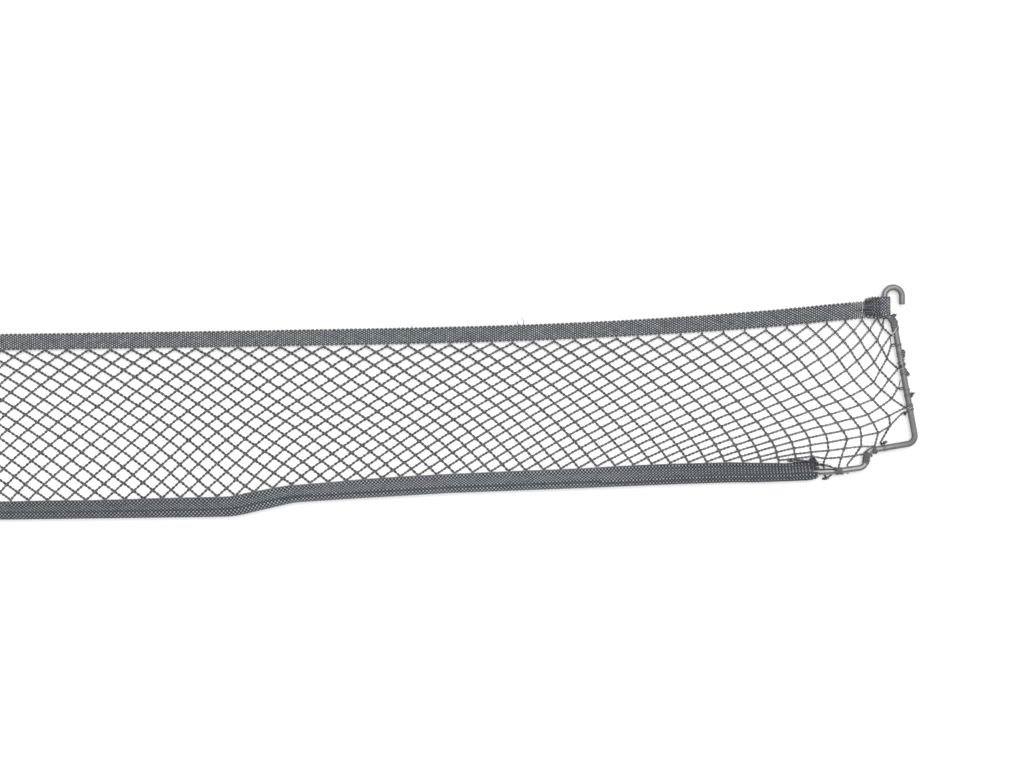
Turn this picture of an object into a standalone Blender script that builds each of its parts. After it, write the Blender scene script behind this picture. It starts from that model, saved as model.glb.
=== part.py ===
"""Cargo net laid out flat: a long strip of knotless diamond netting on a bent wire frame.

The upper edge of the netting is sewn to a braided edge tape, which is stretched between
the stems of the frame, a little off the surface, with its ends folded back round them.
The lower edge is sewn into a second tape, which is folded lengthwise round the lower rail
of the frame.  Thread lashings tie the ends of the netting to the frame.  Each end of the
frame finishes in an open hook.

Sizes are in millimetres and become metres when a mesh is made.  X runs along the strip,
Y runs from the lower rail to the hooks, and Z rises from the surface it lies on.
"""

import math

import bmesh
import bpy
import numpy as np
from mathutils import Vector

MM = 0.001
GAP = 0.3                       # clear space between two pieces that touch

# Frame: one continuous round wire.
WIRE_DIAMETER = 4.0
WIRE_SIDES = 12
BEND_STEP = math.radians(16.0)  # turn between two sections round a bend
HOOK_WIDTH = 11.4               # between the centre lines of the hook's two legs
HOOK_TOP = 74.2                 # centre line at the top of the right hook
HOOK_TIP = 63.1                 # where the free leg is cut off
STEM_ACROSS = 434.4             # straight leg of the hook, from the middle of the strip
END_DROP = 26.0                 # the left end lies this much lower than the right end

# Edge tapes.
CLOTH = 1.2
TAPE_WIDTH = 10.8
TAPE_LEVEL = 38.6               # centre line of the upper tape where the rise starts
TAPE_RISE_FROM = -137.0
TAPE_RISE_LENGTH = 569.0
TAPE_EVEN_RISE = 8.0            # steady part of the rise to the right
TAPE_END_RISE = 14.0            # steeper part of it, close to the right end
TAPE_STATIONS = 30
TAPE_ROWS = 5
TAPE_FOLDED_BACK = 10.7         # from the stem to the end of the folded tape
TAPE_FOLD_SPREAD = 1.22         # the stem leans inside the fold, so the fold is wider
TAPE_FOLD_NARROWING = 0.1       # share of its width that the tape loses at the fold
TAPE_FOLD_RISE = 1.4            # how much higher its middle lies there
SLEEVE_EDGE = 8.6               # from the rail to the sleeve's upper edge
SLEEVE_HALF_LENGTH = 390.0
FOLD_SETTLES = 4.8              # from the wire to where the two layers lie flat
FOLD_STEP = math.radians(26.0)  # turn between two points of a fold round the wire

# Netting.
STRAND_WIDTH = 1.2
STRAND_THICKNESS = 1.2
ROWS = 20                       # half meshes between the two tapes
RAISED_ROWS = 7.0               # rows over which it comes down from the raised tape
LAST_COLUMN = 33                # meshes from the middle to the last one on the tape
LAST_LOWER_COLUMN = 31          # the same on the sleeve
SLEEVE_ROWS = 3                 # lowest rows, which reach no further than the sleeve
UPPER_PITCH = 13.86
LOWER_PITCH = 11.8
UPPER_SQUEEZE = 19.9            # the last meshes bunch up under the fold of the tape
SQUEEZE_HALVES_IN = 2.0         # columns in which that bunching halves
ROW_SPREAD = 1.055              # upper rows lie a little closer together
END_BOW = 20.8                  # the frame draws the end of the netting outwards
END_SAG = 0.143                 # and its rows towards the rail
PULL_COLUMN = 30.5              # column where the two sizes above are measured
PULL_HALVES_IN = 3.0
RELAXED_FROM = 32.0             # from this column on the ties set the meshes' places
RELAX_ROUNDS = 120
TIE_CLEARANCE = 4.1             # from the wire's centre to the end of a tied strand

# Lashings.
THREAD = 0.9                    # how much a lashing stands out from the wire
THREAD_GROOVE = 0.5             # the same between two turns
THREAD_RIDGE = 2.0              # length of one raised turn
LASHING_SIDES = 10
KNOT_HEIGHT = 1.6
KNOT_NARROWING = 4              # power that gathers a knot on its side of the wire

# Corners of the wire at the right end, from the hook's cut tip to the rail.
WIRE_END = (
    # across, up, bend radius
    (STEM_ACROSS + HOOK_WIDTH, HOOK_TIP, 0.0),
    (STEM_ACROSS + HOOK_WIDTH, HOOK_TOP, HOOK_WIDTH / 2),
    (STEM_ACROSS, HOOK_TOP, HOOK_WIDTH / 2),
    (STEM_ACROSS, 57.2, 4.0),
    (440.3, 52.8, 5.0),
    (455.0, -26.6, 5.4),
    (423.2, -32.1, 4.5),
    (422.0, -42.6, 5.0),
    (405.6, -45.0, 20.0),
)
STEM_CORNERS = slice(2, 6)      # those from the top of the hook down the slanted side

# Corners of the lower rail between the two ends, from right to left.
RAIL = (
    # across, up, bend radius
    (350.0, -48.4, 300.0),
    (153.0, -55.6, 300.0),
    (50.0, -62.0, 60.0),
    (12.0, -71.0, 60.0),
    (-137.0, -72.8, 300.0),
)

# Meshes that are tied to the frame at the right end; the left end mirrors them.
TIES = (
    # column, row, across, up
    (33.0, 0, 434.0, 53.4),
    (33.0, 2, 438.9, 43.1),
    (33.5, 3, 439.1, 37.1),
    (33.5, 5, 443.5, 21.4),
    (33.5, 7, 443.3, 8.5),
    (33.5, 9, 448.4, -4.0),
    (34.0, 10, 446.9, -7.1),
    (34.0, 12, 432.2, -26.6),
    (33.5, 13, 428.4, -29.2),
    (34.0, 14, 421.5, -34.4),
    (34.0, 16, 410.5, -41.2),
    (33.5, 17, 405.0, -42.5),
    (33.0, 18, 394.9, -41.2),
    (32.0, 18, 387.6, -35.6),
)

# Meshes past the last column that hang free between two ties.
FREE_MESHES = (
    # column, row, column whose place they start from
    (33.5, 11, 33.0),
    (33.5, 15, 33.0),
    (32.0, 20, 32.0),
)

# Lashings at the right end; the left end mirrors them.
LASHINGS = (
    # name, across, up, length, side of the knot
    ("tape_end", 441.1, 48.9, 9.0, ""),
    ("upper_loop", 442.5, 36.6, 2.0, ""),
    ("upper_tuft", 443.3, 32.0, 4.0, "out"),
    ("side_wrap", 444.9, 24.4, 6.0, ""),
    ("side_tuft", 446.0, 18.4, 3.0, "out"),
    ("middle_loop", 447.9, 7.6, 2.0, ""),
    ("lower_tuft", 448.8, 3.6, 3.0, "out"),
    ("side_tie", 450.2, -4.9, 5.0, "top"),
    ("corner_knot", 434.2, -29.4, 3.0, "top"),
    ("step_wrap", 428.2, -30.5, 3.0, "out"),
    ("step_tie", 422.4, -37.0, 4.0, ""),
    ("rail_tie", 404.4, -45.0, 4.0, "out"),
)

SOFT_GREY = (0.17, 0.178, 0.19)
NET_GREY = (0.085, 0.088, 0.093)
WIRE_GREY = (0.19, 0.19, 0.195)
THREAD_GREY = (0.10, 0.10, 0.106)
SHARP_EDGE = math.radians(40.0)
NO_TURN = 1e-6                  # two strands that meet at less than this run straight on


# ---- Plane geometry -------------------------------------------------------------------

def turn_left(direction):
    """Return a plane direction turned a quarter to the left."""
    return Vector((-direction.y, direction.x))


def rounded_line(corners):
    """Return points along straight runs joined by arcs of each corner's bend radius."""
    points = [Vector(corners[0][:2])]
    for before, corner, after in zip(corners, corners[1:], corners[2:]):
        here, radius = Vector(corner[:2]), corner[2]
        arriving = (here - Vector(before[:2])).normalized()
        leaving = (Vector(after[:2]) - here).normalized()
        turn = arriving.angle_signed(leaving)
        setback = radius * math.tan(abs(turn) / 2)
        side = turn_left(arriving) * (-1 if turn > 0 else 1)
        centre = here - arriving * setback + side * radius
        steps = max(1, math.ceil(abs(turn) / BEND_STEP))
        for step in range(steps + 1):
            angle = -turn * step / steps
            spoke = -side * radius
            points.append(centre + Vector((
                spoke.x * math.cos(angle) - spoke.y * math.sin(angle),
                spoke.x * math.sin(angle) + spoke.y * math.cos(angle))))
    points.append(Vector(corners[-1][:2]))
    return points


def travel_directions(points):
    """Return the direction of travel at each point of a line."""
    last = len(points) - 1
    return [(points[min(i + 1, last)] - points[max(i - 1, 0)]).normalized()
            for i in range(len(points))]


def thicken(middle, thickness):
    """Return the two faces of a strip of a given thickness along a line."""
    faces = ([], [])
    last = len(middle) - 1
    for i, point in enumerate(middle):
        arriving = (point - middle[i - 1]).normalized() if i > 0 else None
        leaving = (middle[i + 1] - point).normalized() if i < last else None
        ahead = ((arriving or leaving) + (leaving or arriving)).normalized()
        reach = thickness / 2 / ahead.dot(arriving or leaving)
        faces[0].append(point + turn_left(ahead) * reach)
        faces[1].append(point - turn_left(ahead) * reach)
    return faces


# ---- Meshes ---------------------------------------------------------------------------

def add_object(name, bm, colour, roughness, metallic=0.0):
    """Close a mesh, shade it and put it in the scene in metres."""
    bmesh.ops.recalc_face_normals(bm, faces=bm.faces)
    bmesh.ops.scale(bm, vec=(MM, MM, MM), verts=bm.verts)
    mesh = bpy.data.meshes.new(name)
    bm.to_mesh(mesh)
    bm.free()
    mesh.shade_smooth()
    mesh.set_sharp_from_angle(angle=SHARP_EDGE)
    material = bpy.data.materials.new(name)
    material.use_nodes = True
    shader = material.node_tree.nodes["Principled BSDF"]
    shader.inputs["Base Color"].default_value = (*colour, 1.0)
    shader.inputs["Roughness"].default_value = roughness
    shader.inputs["Metallic"].default_value = metallic
    mesh.materials.append(material)
    piece = bpy.data.objects.new(name, mesh)
    bpy.context.collection.objects.link(piece)
    return piece


def join_rows(bm, rows, close_rows=False, close_columns=False):
    """Join rows of vertices with faces, each row to the next."""
    row_count, column_count = len(rows), len(rows[0])
    for i in range(row_count if close_rows else row_count - 1):
        for k in range(column_count if close_columns else column_count - 1):
            upper, lower = rows[i], rows[(i + 1) % row_count]
            following = (k + 1) % column_count
            bm.faces.new((upper[k], upper[following], lower[following], lower[k]))


def folded_sheet(front, back):
    """Return the closed mesh of a sheet from the grids of its two faces."""
    bm = bmesh.new()
    front = [[bm.verts.new(point) for point in row] for row in front]
    back = [[bm.verts.new(point) for point in row] for row in back]
    join_rows(bm, front)
    join_rows(bm, back)
    for rim in (0, -1):
        join_rows(bm, [front[rim], back[rim]])
        join_rows(bm, [[row[rim] for row in front], [row[rim] for row in back]])
    return bm


# ---- Wire frame -----------------------------------------------------------------------

WIRE_RADIUS = WIRE_DIAMETER / 2
WIRE_HEIGHT = CLOTH + GAP + WIRE_RADIUS         # the folded tapes lie under the wire
FOLD_RADIUS = WIRE_RADIUS + GAP + CLOTH / 2     # middle of the cloth round the wire
SLEEVE_LAYERS = (CLOTH / 2, CLOTH * 1.5 + GAP)  # middles of its lower and upper layer
TAPE_LAYERS = (WIRE_HEIGHT - (CLOTH + GAP) / 2, WIRE_HEIGHT + (CLOTH + GAP) / 2)


def wire_corners():
    """Return the corners of the whole wire, from the right hook to the left one."""
    left = [(-across, up - END_DROP, radius) for across, up, radius in reversed(WIRE_END)]
    return [*WIRE_END, *RAIL, *left]


WIRE = rounded_line(wire_corners())
WIRE_DIRECTIONS = travel_directions(WIRE)
WIRE_LENGTHS = [0.0, *np.cumsum([(b - a).length for a, b in zip(WIRE, WIRE[1:])])]


def wire_position(near):
    """Return the length along the wire of its point nearest to a given one."""
    best = (math.inf, 0.0)
    for start, end, length in zip(WIRE, WIRE[1:], WIRE_LENGTHS):
        run = end - start
        share = min(max((near - start).dot(run) / run.length_squared, 0.0), 1.0)
        distance = (start + run * share - near).length
        best = min(best, (distance, length + share * run.length))
    return best[1]


def wire_point(length):
    """Return the wire's centre and its direction at a length along it."""
    def between(values):
        return Vector([float(np.interp(length, WIRE_LENGTHS, [value[axis] for value in values]))
                       for axis in (0, 1)])
    return between(WIRE), between(WIRE_DIRECTIONS).normalized()


def ring_points(centre, direction, radii):
    """Return a ring of points round the wire, one for each radius."""
    side = turn_left(direction)
    ring = []
    for i, radius in enumerate(radii):
        angle = 2 * math.pi * i / len(radii)
        reach = radius * math.cos(angle)
        ring.append((centre.x + side.x * reach, centre.y + side.y * reach,
                     WIRE_HEIGHT + radius * math.sin(angle)))
    return ring


def make_wire_frame():
    """Make the bent wire, with flat cuts at the tips of the two hooks."""
    bm = bmesh.new()
    rings = [[bm.verts.new(point) for point in
              ring_points(centre, direction, [WIRE_RADIUS] * WIRE_SIDES)]
             for centre, direction in zip(WIRE, WIRE_DIRECTIONS)]
    join_rows(bm, rings, close_columns=True)
    bm.faces.new(rings[0])
    bm.faces.new(rings[-1])
    add_object("wire_frame", bm, WIRE_GREY, 0.45, 0.3)


# ---- Tapes ----------------------------------------------------------------------------

def fold_round_wire(length, layers):
    """Return the middle of a cloth whose two layers lie flat and meet in a fold round the wire.

    The wire's centre is at zero across.  The lower layer starts at that length from it,
    goes round the wire, and ends as the upper layer above its own start.
    """
    def leaves_at(level, side):
        rise = level - WIRE_HEIGHT
        return (math.atan2(rise, FOLD_SETTLES)
                + side * math.acos(FOLD_RADIUS / math.hypot(FOLD_SETTLES, rise)))

    lower, upper = layers
    start = leaves_at(lower, -1)
    turn = 2 * math.pi + start - leaves_at(upper, 1)
    steps = math.ceil(turn / FOLD_STEP)
    fold = [Vector((length, lower)), Vector((FOLD_SETTLES, lower))]
    for step in range(steps + 1):
        angle = start - turn * step / steps
        fold.append(Vector((FOLD_RADIUS * math.cos(angle),
                            WIRE_HEIGHT + FOLD_RADIUS * math.sin(angle))))
    return [*fold, Vector((FOLD_SETTLES, upper)), Vector((length, upper))]


def sleeve_stations():
    """Return the wire's centres and directions inside the sleeve, right to left."""
    inside = [length for length, point in zip(WIRE_LENGTHS, WIRE)
              if abs(point.x) < SLEEVE_HALF_LENGTH]
    right, left = [wire_position(Vector((side * SLEEVE_HALF_LENGTH, up)))
                   for side, up in ((1, WIRE_END[-1][1]), (-1, WIRE_END[-1][1] - END_DROP))]
    return [wire_point(length) for length in (right, *inside, left)]


def make_bottom_tape():
    """Make the tape that is folded lengthwise round the lower rail."""
    faces = thicken(fold_round_wire(SLEEVE_EDGE, SLEEVE_LAYERS), CLOTH)
    grids = [[[(centre.x - turn_left(ahead).x * point.x,
                centre.y - turn_left(ahead).y * point.x, point.y) for point in face]
              for centre, ahead in sleeve_stations()] for face in faces]
    add_object("bottom_tape", folded_sheet(*grids), SOFT_GREY, 0.85)


def tape_level(across):
    """Return the centre line of the upper tape at a place along the strip."""
    share = (across - TAPE_RISE_FROM) / TAPE_RISE_LENGTH
    return TAPE_LEVEL + TAPE_EVEN_RISE * share + TAPE_END_RISE * max(share, 0.0) ** 4


def stem_across(side, up):
    """Return where the wire passes through the upper tape at one end."""
    stem = rounded_line(WIRE_END[STEM_CORNERS])
    stem.reverse()
    level = up + (END_DROP if side < 0 else 0.0)
    return side * float(np.interp(level, [point.y for point in stem],
                                  [point.x for point in stem]))


def make_top_tape():
    """Make the upper edge tape with both of its ends folded back round the stems."""
    straight = STEM_ACROSS - 2 * TAPE_FOLDED_BACK
    middle = [Vector((straight * (2 * i / TAPE_STATIONS - 1), TAPE_LAYERS[0]))
              for i in range(TAPE_STATIONS + 1)]
    fold = [Vector((-point.x * TAPE_FOLD_SPREAD, point.y))
            for point in fold_round_wire(TAPE_FOLDED_BACK, TAPE_LAYERS)]
    right = [Vector((point.x + STEM_ACROSS, point.y)) for point in fold]
    left = [Vector((-point.x, point.y)) for point in reversed(right)]
    faces = thicken([*left, *middle, *right], CLOTH)

    def place(point, offset):
        across = point.x
        near_fold = min(max(abs(across) - straight, 0.0) / (STEM_ACROSS - straight), 1.0)
        up = (tape_level(across) + TAPE_FOLD_RISE * near_fold
              + offset * (1 - TAPE_FOLD_NARROWING * near_fold))
        if near_fold > 0:
            side = math.copysign(1.0, across)
            across += stem_across(side, up) - side * STEM_ACROSS
        return (across, up, point.y)

    offsets = [TAPE_WIDTH * (i / (TAPE_ROWS - 1) - 0.5) for i in range(TAPE_ROWS)]
    grids = [[[place(point, offset) for offset in offsets] for point in face]
             for face in faces]
    add_object("top_tape", folded_sheet(*grids), SOFT_GREY, 0.85)


# ---- Netting --------------------------------------------------------------------------

def sleeve_edge(across):
    """Return the level of the sleeve's upper edge at a place along the strip."""
    edge = [centre - turn_left(ahead) * SLEEVE_EDGE for centre, ahead in sleeve_stations()]
    edge.reverse()
    return float(np.interp(across, [point.x for point in edge], [point.y for point in edge]))


def hanging_place(column, row):
    """Return where a mesh lies between the two tapes, drawn out near the frame's ends."""
    side, far = math.copysign(1.0, column), abs(column)
    drop = row / ROWS
    arch = 4 * drop * (1 - drop)
    pull = 2 ** ((far - PULL_COLUMN) / PULL_HALVES_IN)
    squeeze = UPPER_SQUEEZE * 2 ** ((far - LAST_COLUMN) / SQUEEZE_HALVES_IN)
    share = min(drop ** ROW_SPREAD + END_SAG * pull * arch, 1.0)
    upper, lower = UPPER_PITCH * far - squeeze, LOWER_PITCH * far
    across = side * (upper + (lower - upper) * share + END_BOW * pull * arch)
    margin = GAP + STRAND_WIDTH / 2
    top = tape_level(across) - TAPE_WIDTH / 2 - margin
    bottom = sleeve_edge(across) + margin
    return Vector((across, top + (bottom - top) * share))


def tied_places():
    """Return the places of the tied meshes at both ends, clear of the wire."""
    places = {}
    for side in (1, -1):
        for column, row, across, up in TIES:
            tie = Vector((side * across, up - (END_DROP if side < 0 else 0.0)))
            centre, _ = wire_point(wire_position(tie))
            if (tie - centre).length < TIE_CLEARANCE:
                tie = centre + (tie - centre).normalized() * TIE_CLEARANCE
            places[(side * column, row)] = tie
    return places


def mesh_neighbours(node):
    """Return the four crossings next to one crossing of the netting."""
    column, row = node
    return [(column + side / 2, row + step) for side in (-1, 1) for step in (-1, 1)]


def crossing_places(ties):
    """Return the place of every crossing of the netting, by column and row."""
    places = {}
    for row in range(ROWS + 1):
        last = LAST_COLUMN if row <= ROWS - SLEEVE_ROWS else LAST_LOWER_COLUMN
        for half_column in range(-2 * last, 2 * last + 1):
            if (half_column - row) % 2 == 0:
                places[(half_column / 2, row)] = hanging_place(half_column / 2, row)
    for side in (-1, 1):
        for column, row, starts_from in FREE_MESHES:
            places[(side * column, row)] = hanging_place(side * starts_from, row)
    places.update(ties)
    loose = [node for node in places
             if abs(node[0]) > RELAXED_FROM and node not in ties and 0 < node[1] < ROWS]
    for _ in range(RELAX_ROUNDS):
        for node in loose:
            near = [places[other] for other in mesh_neighbours(node) if other in places]
            places[node] = sum(near, Vector((0.0, 0.0))) / len(near)
    return places


def strand_routes(places, ties):
    """Return the routes of every second strand of each family, crossing by crossing.

    A strand that leans to the left as it drops keeps the sum of its column and half its
    row; one that leans to the right keeps their difference.
    """
    routes = []
    for lean in (1, -1):
        for index in range(-LAST_COLUMN - ROWS, LAST_COLUMN + ROWS + 1, 2):
            line = [(index - lean * row / 2, row) for row in range(ROWS + 1)]
            line = [node for node in line if node in places]
            inner = [i for i, node in enumerate(line) if node not in ties]
            if not inner:
                continue
            line = line[max(inner[0] - 1, 0):inner[-1] + 2]
            kept = [node for i, node in enumerate(line)
                    if i in (0, len(line) - 1) or node[1] % 2 == 0]
            routes.append(kept)
    return routes


def strand_corner(here, first, second, half_width):
    """Return the corner points of a crossing between two strands, counterclockwise."""
    one, two = (first - here).normalized(), (second - here).normalized()
    between = (math.atan2(two.y, two.x) - math.atan2(one.y, one.x)) % (2 * math.pi)
    if NO_TURN < between < math.pi - NO_TURN:
        middle = math.atan2(one.y, one.x) + between / 2
        reach = half_width / math.sin(between / 2)
        return [here + Vector((math.cos(middle), math.sin(middle))) * reach]
    return [here + turn_left(one) * half_width, here - turn_left(two) * half_width]


def strand_level(node):
    """Return how high the netting lies above the surface at one crossing."""
    left = max(1.0 - node[1] / RAISED_ROWS, 0.0)
    return (TAPE_LAYERS[0] - STRAND_THICKNESS / 2) * left ** 2


def make_net():
    """Make the netting as one flat solid, its strands fused where they cross."""
    ties = tied_places()
    places = crossing_places(ties)
    links = {}
    for route in strand_routes(places, ties):
        for one, two in zip(route, route[1:]):
            links.setdefault(one, set()).add(two)
            links.setdefault(two, set()).add(one)

    bm = bmesh.new()
    left_of, right_of = {}, {}
    for node, others in links.items():
        here = places[node]
        around = sorted(others, key=lambda other: math.atan2(
            places[other].y - here.y, places[other].x - here.x))
        outline = []
        for i, other in enumerate(around):
            following = around[(i + 1) % len(around)]
            corner = [bm.verts.new((point.x, point.y, strand_level(node))) for point in
                      strand_corner(here, places[other], places[following], STRAND_WIDTH / 2)]
            left_of[(node, other)] = corner[0]
            right_of[(node, following)] = corner[-1]
            outline.extend(corner)
        if len(outline) > 2:
            bm.faces.new(outline)
    for node, others in links.items():
        for other in others:
            if node < other:
                bm.faces.new((right_of[(node, other)], left_of[(other, node)],
                              right_of[(other, node)], left_of[(node, other)]))
    raised = bmesh.ops.extrude_face_region(bm, geom=bm.faces[:])["geom"]
    upper = [item for item in raised if isinstance(item, bmesh.types.BMVert)]
    bmesh.ops.translate(bm, vec=(0.0, 0.0, STRAND_THICKNESS), verts=upper)
    add_object("net", bm, NET_GREY, 0.8)


# ---- Lashings -------------------------------------------------------------------------

def make_lashing(name, near, length, knot):
    """Make one lashing: turns of thread round the wire, with a knot on one side."""
    middle = wire_position(near)
    turns = max(1, round(length / THREAD_RIDGE))
    inner, outer = [], []
    for step in range(2 * turns + 1):
        along = length * (step / (2 * turns) - 0.5)
        centre, direction = wire_point(middle + along)
        hump = THREAD if step % 2 else THREAD_GROOVE
        swell = KNOT_HEIGHT * math.cos(math.pi * along / (length + THREAD))
        radii = []
        for i in range(LASHING_SIDES):
            angle = 2 * math.pi * i / LASHING_SIDES
            toward = {"out": math.cos(angle), "top": math.sin(angle), "": 0.0}[knot]
            radii.append(WIRE_RADIUS + GAP + hump
                         + swell * max(toward, 0.0) ** KNOT_NARROWING)
        inner.append(ring_points(centre, direction, [WIRE_RADIUS + GAP] * LASHING_SIDES))
        outer.append(ring_points(centre, direction, radii))
    bm = bmesh.new()
    rings = [[bm.verts.new(point) for point in ring] for ring in (*outer, *reversed(inner))]
    join_rows(bm, rings, close_rows=True, close_columns=True)
    add_object(name, bm, THREAD_GREY, 0.85)


def make_lashings():
    """Make the lashings of both ends."""
    for name, across, up, length, knot in LASHINGS:
        make_lashing(f"lashing_right_{name}", Vector((across, up)), length, knot)
        make_lashing(f"lashing_left_{name}", Vector((-across, up - END_DROP)), length, knot)


# ---- The part -------------------------------------------------------------------------

def clear_scene():
    """Remove what the scene holds."""
    for item in list(bpy.data.objects):
        bpy.data.objects.remove(item, do_unlink=True)


def main():
    """Make every piece of the cargo net."""
    clear_scene()
    make_wire_frame()
    make_top_tape()
    make_bottom_tape()
    make_net()
    make_lashings()


main()
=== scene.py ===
"""Looks of a long cargo net that lies flat: wire frame, braided tapes, netting, lashings.

Places and sizes are in millimetres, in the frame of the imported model, and become metres
when a mesh is made.  X runs along the strip, Y from the lower rail to the hooks, and Z
rises from the surface it lies on.
"""

import logging
import math
import random
from collections.abc import Sequence
from dataclasses import dataclass, field
from enum import Enum
from typing import Protocol

import bpy
import numpy as np
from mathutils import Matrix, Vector


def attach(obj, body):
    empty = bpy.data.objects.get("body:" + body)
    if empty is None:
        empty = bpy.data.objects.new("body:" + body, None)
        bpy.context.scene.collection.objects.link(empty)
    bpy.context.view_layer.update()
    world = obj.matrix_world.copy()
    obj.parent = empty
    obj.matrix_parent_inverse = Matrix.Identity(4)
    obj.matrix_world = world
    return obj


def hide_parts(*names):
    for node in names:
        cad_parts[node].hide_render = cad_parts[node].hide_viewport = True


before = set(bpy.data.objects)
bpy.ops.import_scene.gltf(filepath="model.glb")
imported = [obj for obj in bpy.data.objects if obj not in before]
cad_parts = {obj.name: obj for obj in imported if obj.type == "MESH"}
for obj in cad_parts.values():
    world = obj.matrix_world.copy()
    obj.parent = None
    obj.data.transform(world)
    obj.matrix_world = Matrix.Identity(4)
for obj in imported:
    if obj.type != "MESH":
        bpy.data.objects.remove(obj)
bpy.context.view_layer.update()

MM = 0.001
BODY = "root"
LOG = logging.getLogger("cargo_net")

Array = np.ndarray
Socket = bpy.types.NodeSocket
Tree = bpy.types.NodeTree
Piece = bpy.types.Object
Material = bpy.types.Material
Pair = tuple[float, float]
Triple = tuple[float, float, float]
Colour = Triple
Table = tuple[Pair, ...]            # places, and the value at each
Node = tuple[float, int]            # a crossing of the netting, by column and row


class End(Enum):
    """The two ends of the strip, by the sign of their place across it."""

    RIGHT = 1
    LEFT = -1


class Slot(Enum):
    """The record's material slots."""

    WIRE = "frame_wire"
    TAPE = "edge_tape"
    NET = "netting"
    THREAD = "lashing_thread"


# ---- Lines ----------------------------------------------------------------------------


@dataclass(frozen=True)
class Corner:
    """A corner of a line in the plane, with the radius that it is bent to."""

    across: float
    up: float
    radius: float

    def place(self) -> Array:
        """Return the corner as a point."""
        return np.array((self.across, self.up))


def turned_left(directions: Array) -> Array:
    """Return plane directions turned a quarter to the left."""
    return np.stack((-directions[..., 1], directions[..., 0]), axis=-1)


def unit(vectors: Array) -> Array:
    """Return vectors at length one."""
    return vectors / np.maximum(np.linalg.norm(vectors, axis=-1, keepdims=True), 1e-9)


def smooth_step(values: Array) -> Array:
    """Return a smooth rise from zero to one for values from zero to one."""
    share = np.clip(values, 0.0, 1.0)
    return share * share * (3 - 2 * share)


def read_table(table: Sequence[Pair], places: Array) -> Array:
    """Return what a table of places and values says at some places."""
    return np.interp(places, *zip(*table))


class PlaneLine:
    """A line in a plane, read by the length along it."""

    def __init__(self, points: Array) -> None:
        """Keep the points and measure the line.

        Args:
            points: its points, one row each.
        """
        steps = np.linalg.norm(np.diff(points, axis=0), axis=1)
        self.points = points[np.concatenate(([True], steps > 1e-4))]
        steps = np.linalg.norm(np.diff(self.points, axis=0), axis=1)
        self.lengths = np.concatenate(([0.0], np.cumsum(steps)))
        self.directions = unit(np.gradient(self.points, self.lengths, axis=0))

    @property
    def length(self) -> float:
        """Return the whole length."""
        return float(self.lengths[-1])

    def at(self, lengths: Array) -> tuple[Array, Array]:
        """Return its points at lengths from its start, and the unit directions there."""
        points, directions = (
            np.stack([np.interp(lengths, self.lengths, values[:, axis]) for axis in (0, 1)],
                     axis=-1)
            for values in (self.points, self.directions))
        return points, unit(directions)

    def nearest(self, place: Array) -> float:
        """Find the point that lies nearest to a place.

        Args:
            place: a point of the plane.

        Returns:
            The length from the start to it.
        """
        runs = np.diff(self.points, axis=0)
        shares = ((place - self.points[:-1]) * runs).sum(axis=1) / (runs ** 2).sum(axis=1)
        shares = np.clip(shares, 0.0, 1.0)
        feet = self.points[:-1] + runs * shares[:, None]
        best = int(np.linalg.norm(feet - place, axis=1).argmin())
        return float(self.lengths[best] + shares[best] * np.linalg.norm(runs[best]))

    def reversed(self) -> "PlaneLine":
        """Return the same line, run from its other end."""
        return PlaneLine(self.points[::-1])


def rounded_line(corners: Sequence[Corner], step: float) -> PlaneLine:
    """Bend a line to arcs at its corners.

    Args:
        corners: its corners in order, with both ends.
        step: the largest turn between two points of an arc, in radians.

    Returns:
        The line.
    """
    points = [corners[0].place()]
    for before, corner, after in zip(corners, corners[1:], corners[2:]):
        arriving = unit(corner.place() - before.place())
        leaving = unit(after.place() - corner.place())
        cross = arriving[0] * leaving[1] - arriving[1] * leaving[0]
        turn = math.atan2(cross, float(arriving @ leaving))
        side = turned_left(arriving) * math.copysign(1.0, turn)
        centre = (corner.place() - arriving * corner.radius * math.tan(abs(turn) / 2)
                  + side * corner.radius)
        count = max(2, math.ceil(abs(turn) / step))
        for angle in np.linspace(0.0, turn, count + 1):
            spoke = -side * corner.radius
            points.append(centre + np.array((
                spoke[0] * math.cos(angle) - spoke[1] * math.sin(angle),
                spoke[0] * math.sin(angle) + spoke[1] * math.cos(angle))))
    points.append(corners[-1].place())
    return PlaneLine(np.array(points))


# ---- Threads, swept by Geometry Nodes ---------------------------------------------------


@dataclass
class Route:
    """One line that a thread follows, point by point."""

    points: Array
    facing: Array
    values: dict[str, Array] = field(default_factory=dict)


def line_mesh(name: str, routes: Sequence[Route]) -> bpy.types.Mesh:
    """Make a mesh of edges that Geometry Nodes can sweep.

    Args:
        name: the mesh's name.
        routes: the lines, all with the same named values.

    Returns:
        The mesh in metres, with its values as attributes.
    """
    points = np.concatenate([route.points for route in routes]) * MM
    starts = np.cumsum([0] + [len(route.points) for route in routes])
    edges = np.concatenate([
        np.stack((np.arange(start, end - 1), np.arange(start + 1, end)), axis=1)
        for start, end in zip(starts, starts[1:])])
    mesh = bpy.data.meshes.new(name)
    mesh.vertices.add(len(points))
    mesh.vertices.foreach_set("co", points.astype(np.float32).ravel())
    mesh.edges.add(len(edges))
    mesh.edges.foreach_set("vertices", edges.astype(np.int32).ravel())
    facing = mesh.attributes.new("facing", "FLOAT_VECTOR", "POINT")
    facing.data.foreach_set("vector", np.concatenate(
        [route.facing for route in routes]).astype(np.float32).ravel())
    for label in routes[0].values:
        held = mesh.attributes.new(label, "FLOAT", "POINT")
        held.data.foreach_set("value", np.concatenate(
            [route.values[label] for route in routes]).astype(np.float32))
    mesh.update()
    return mesh


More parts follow.
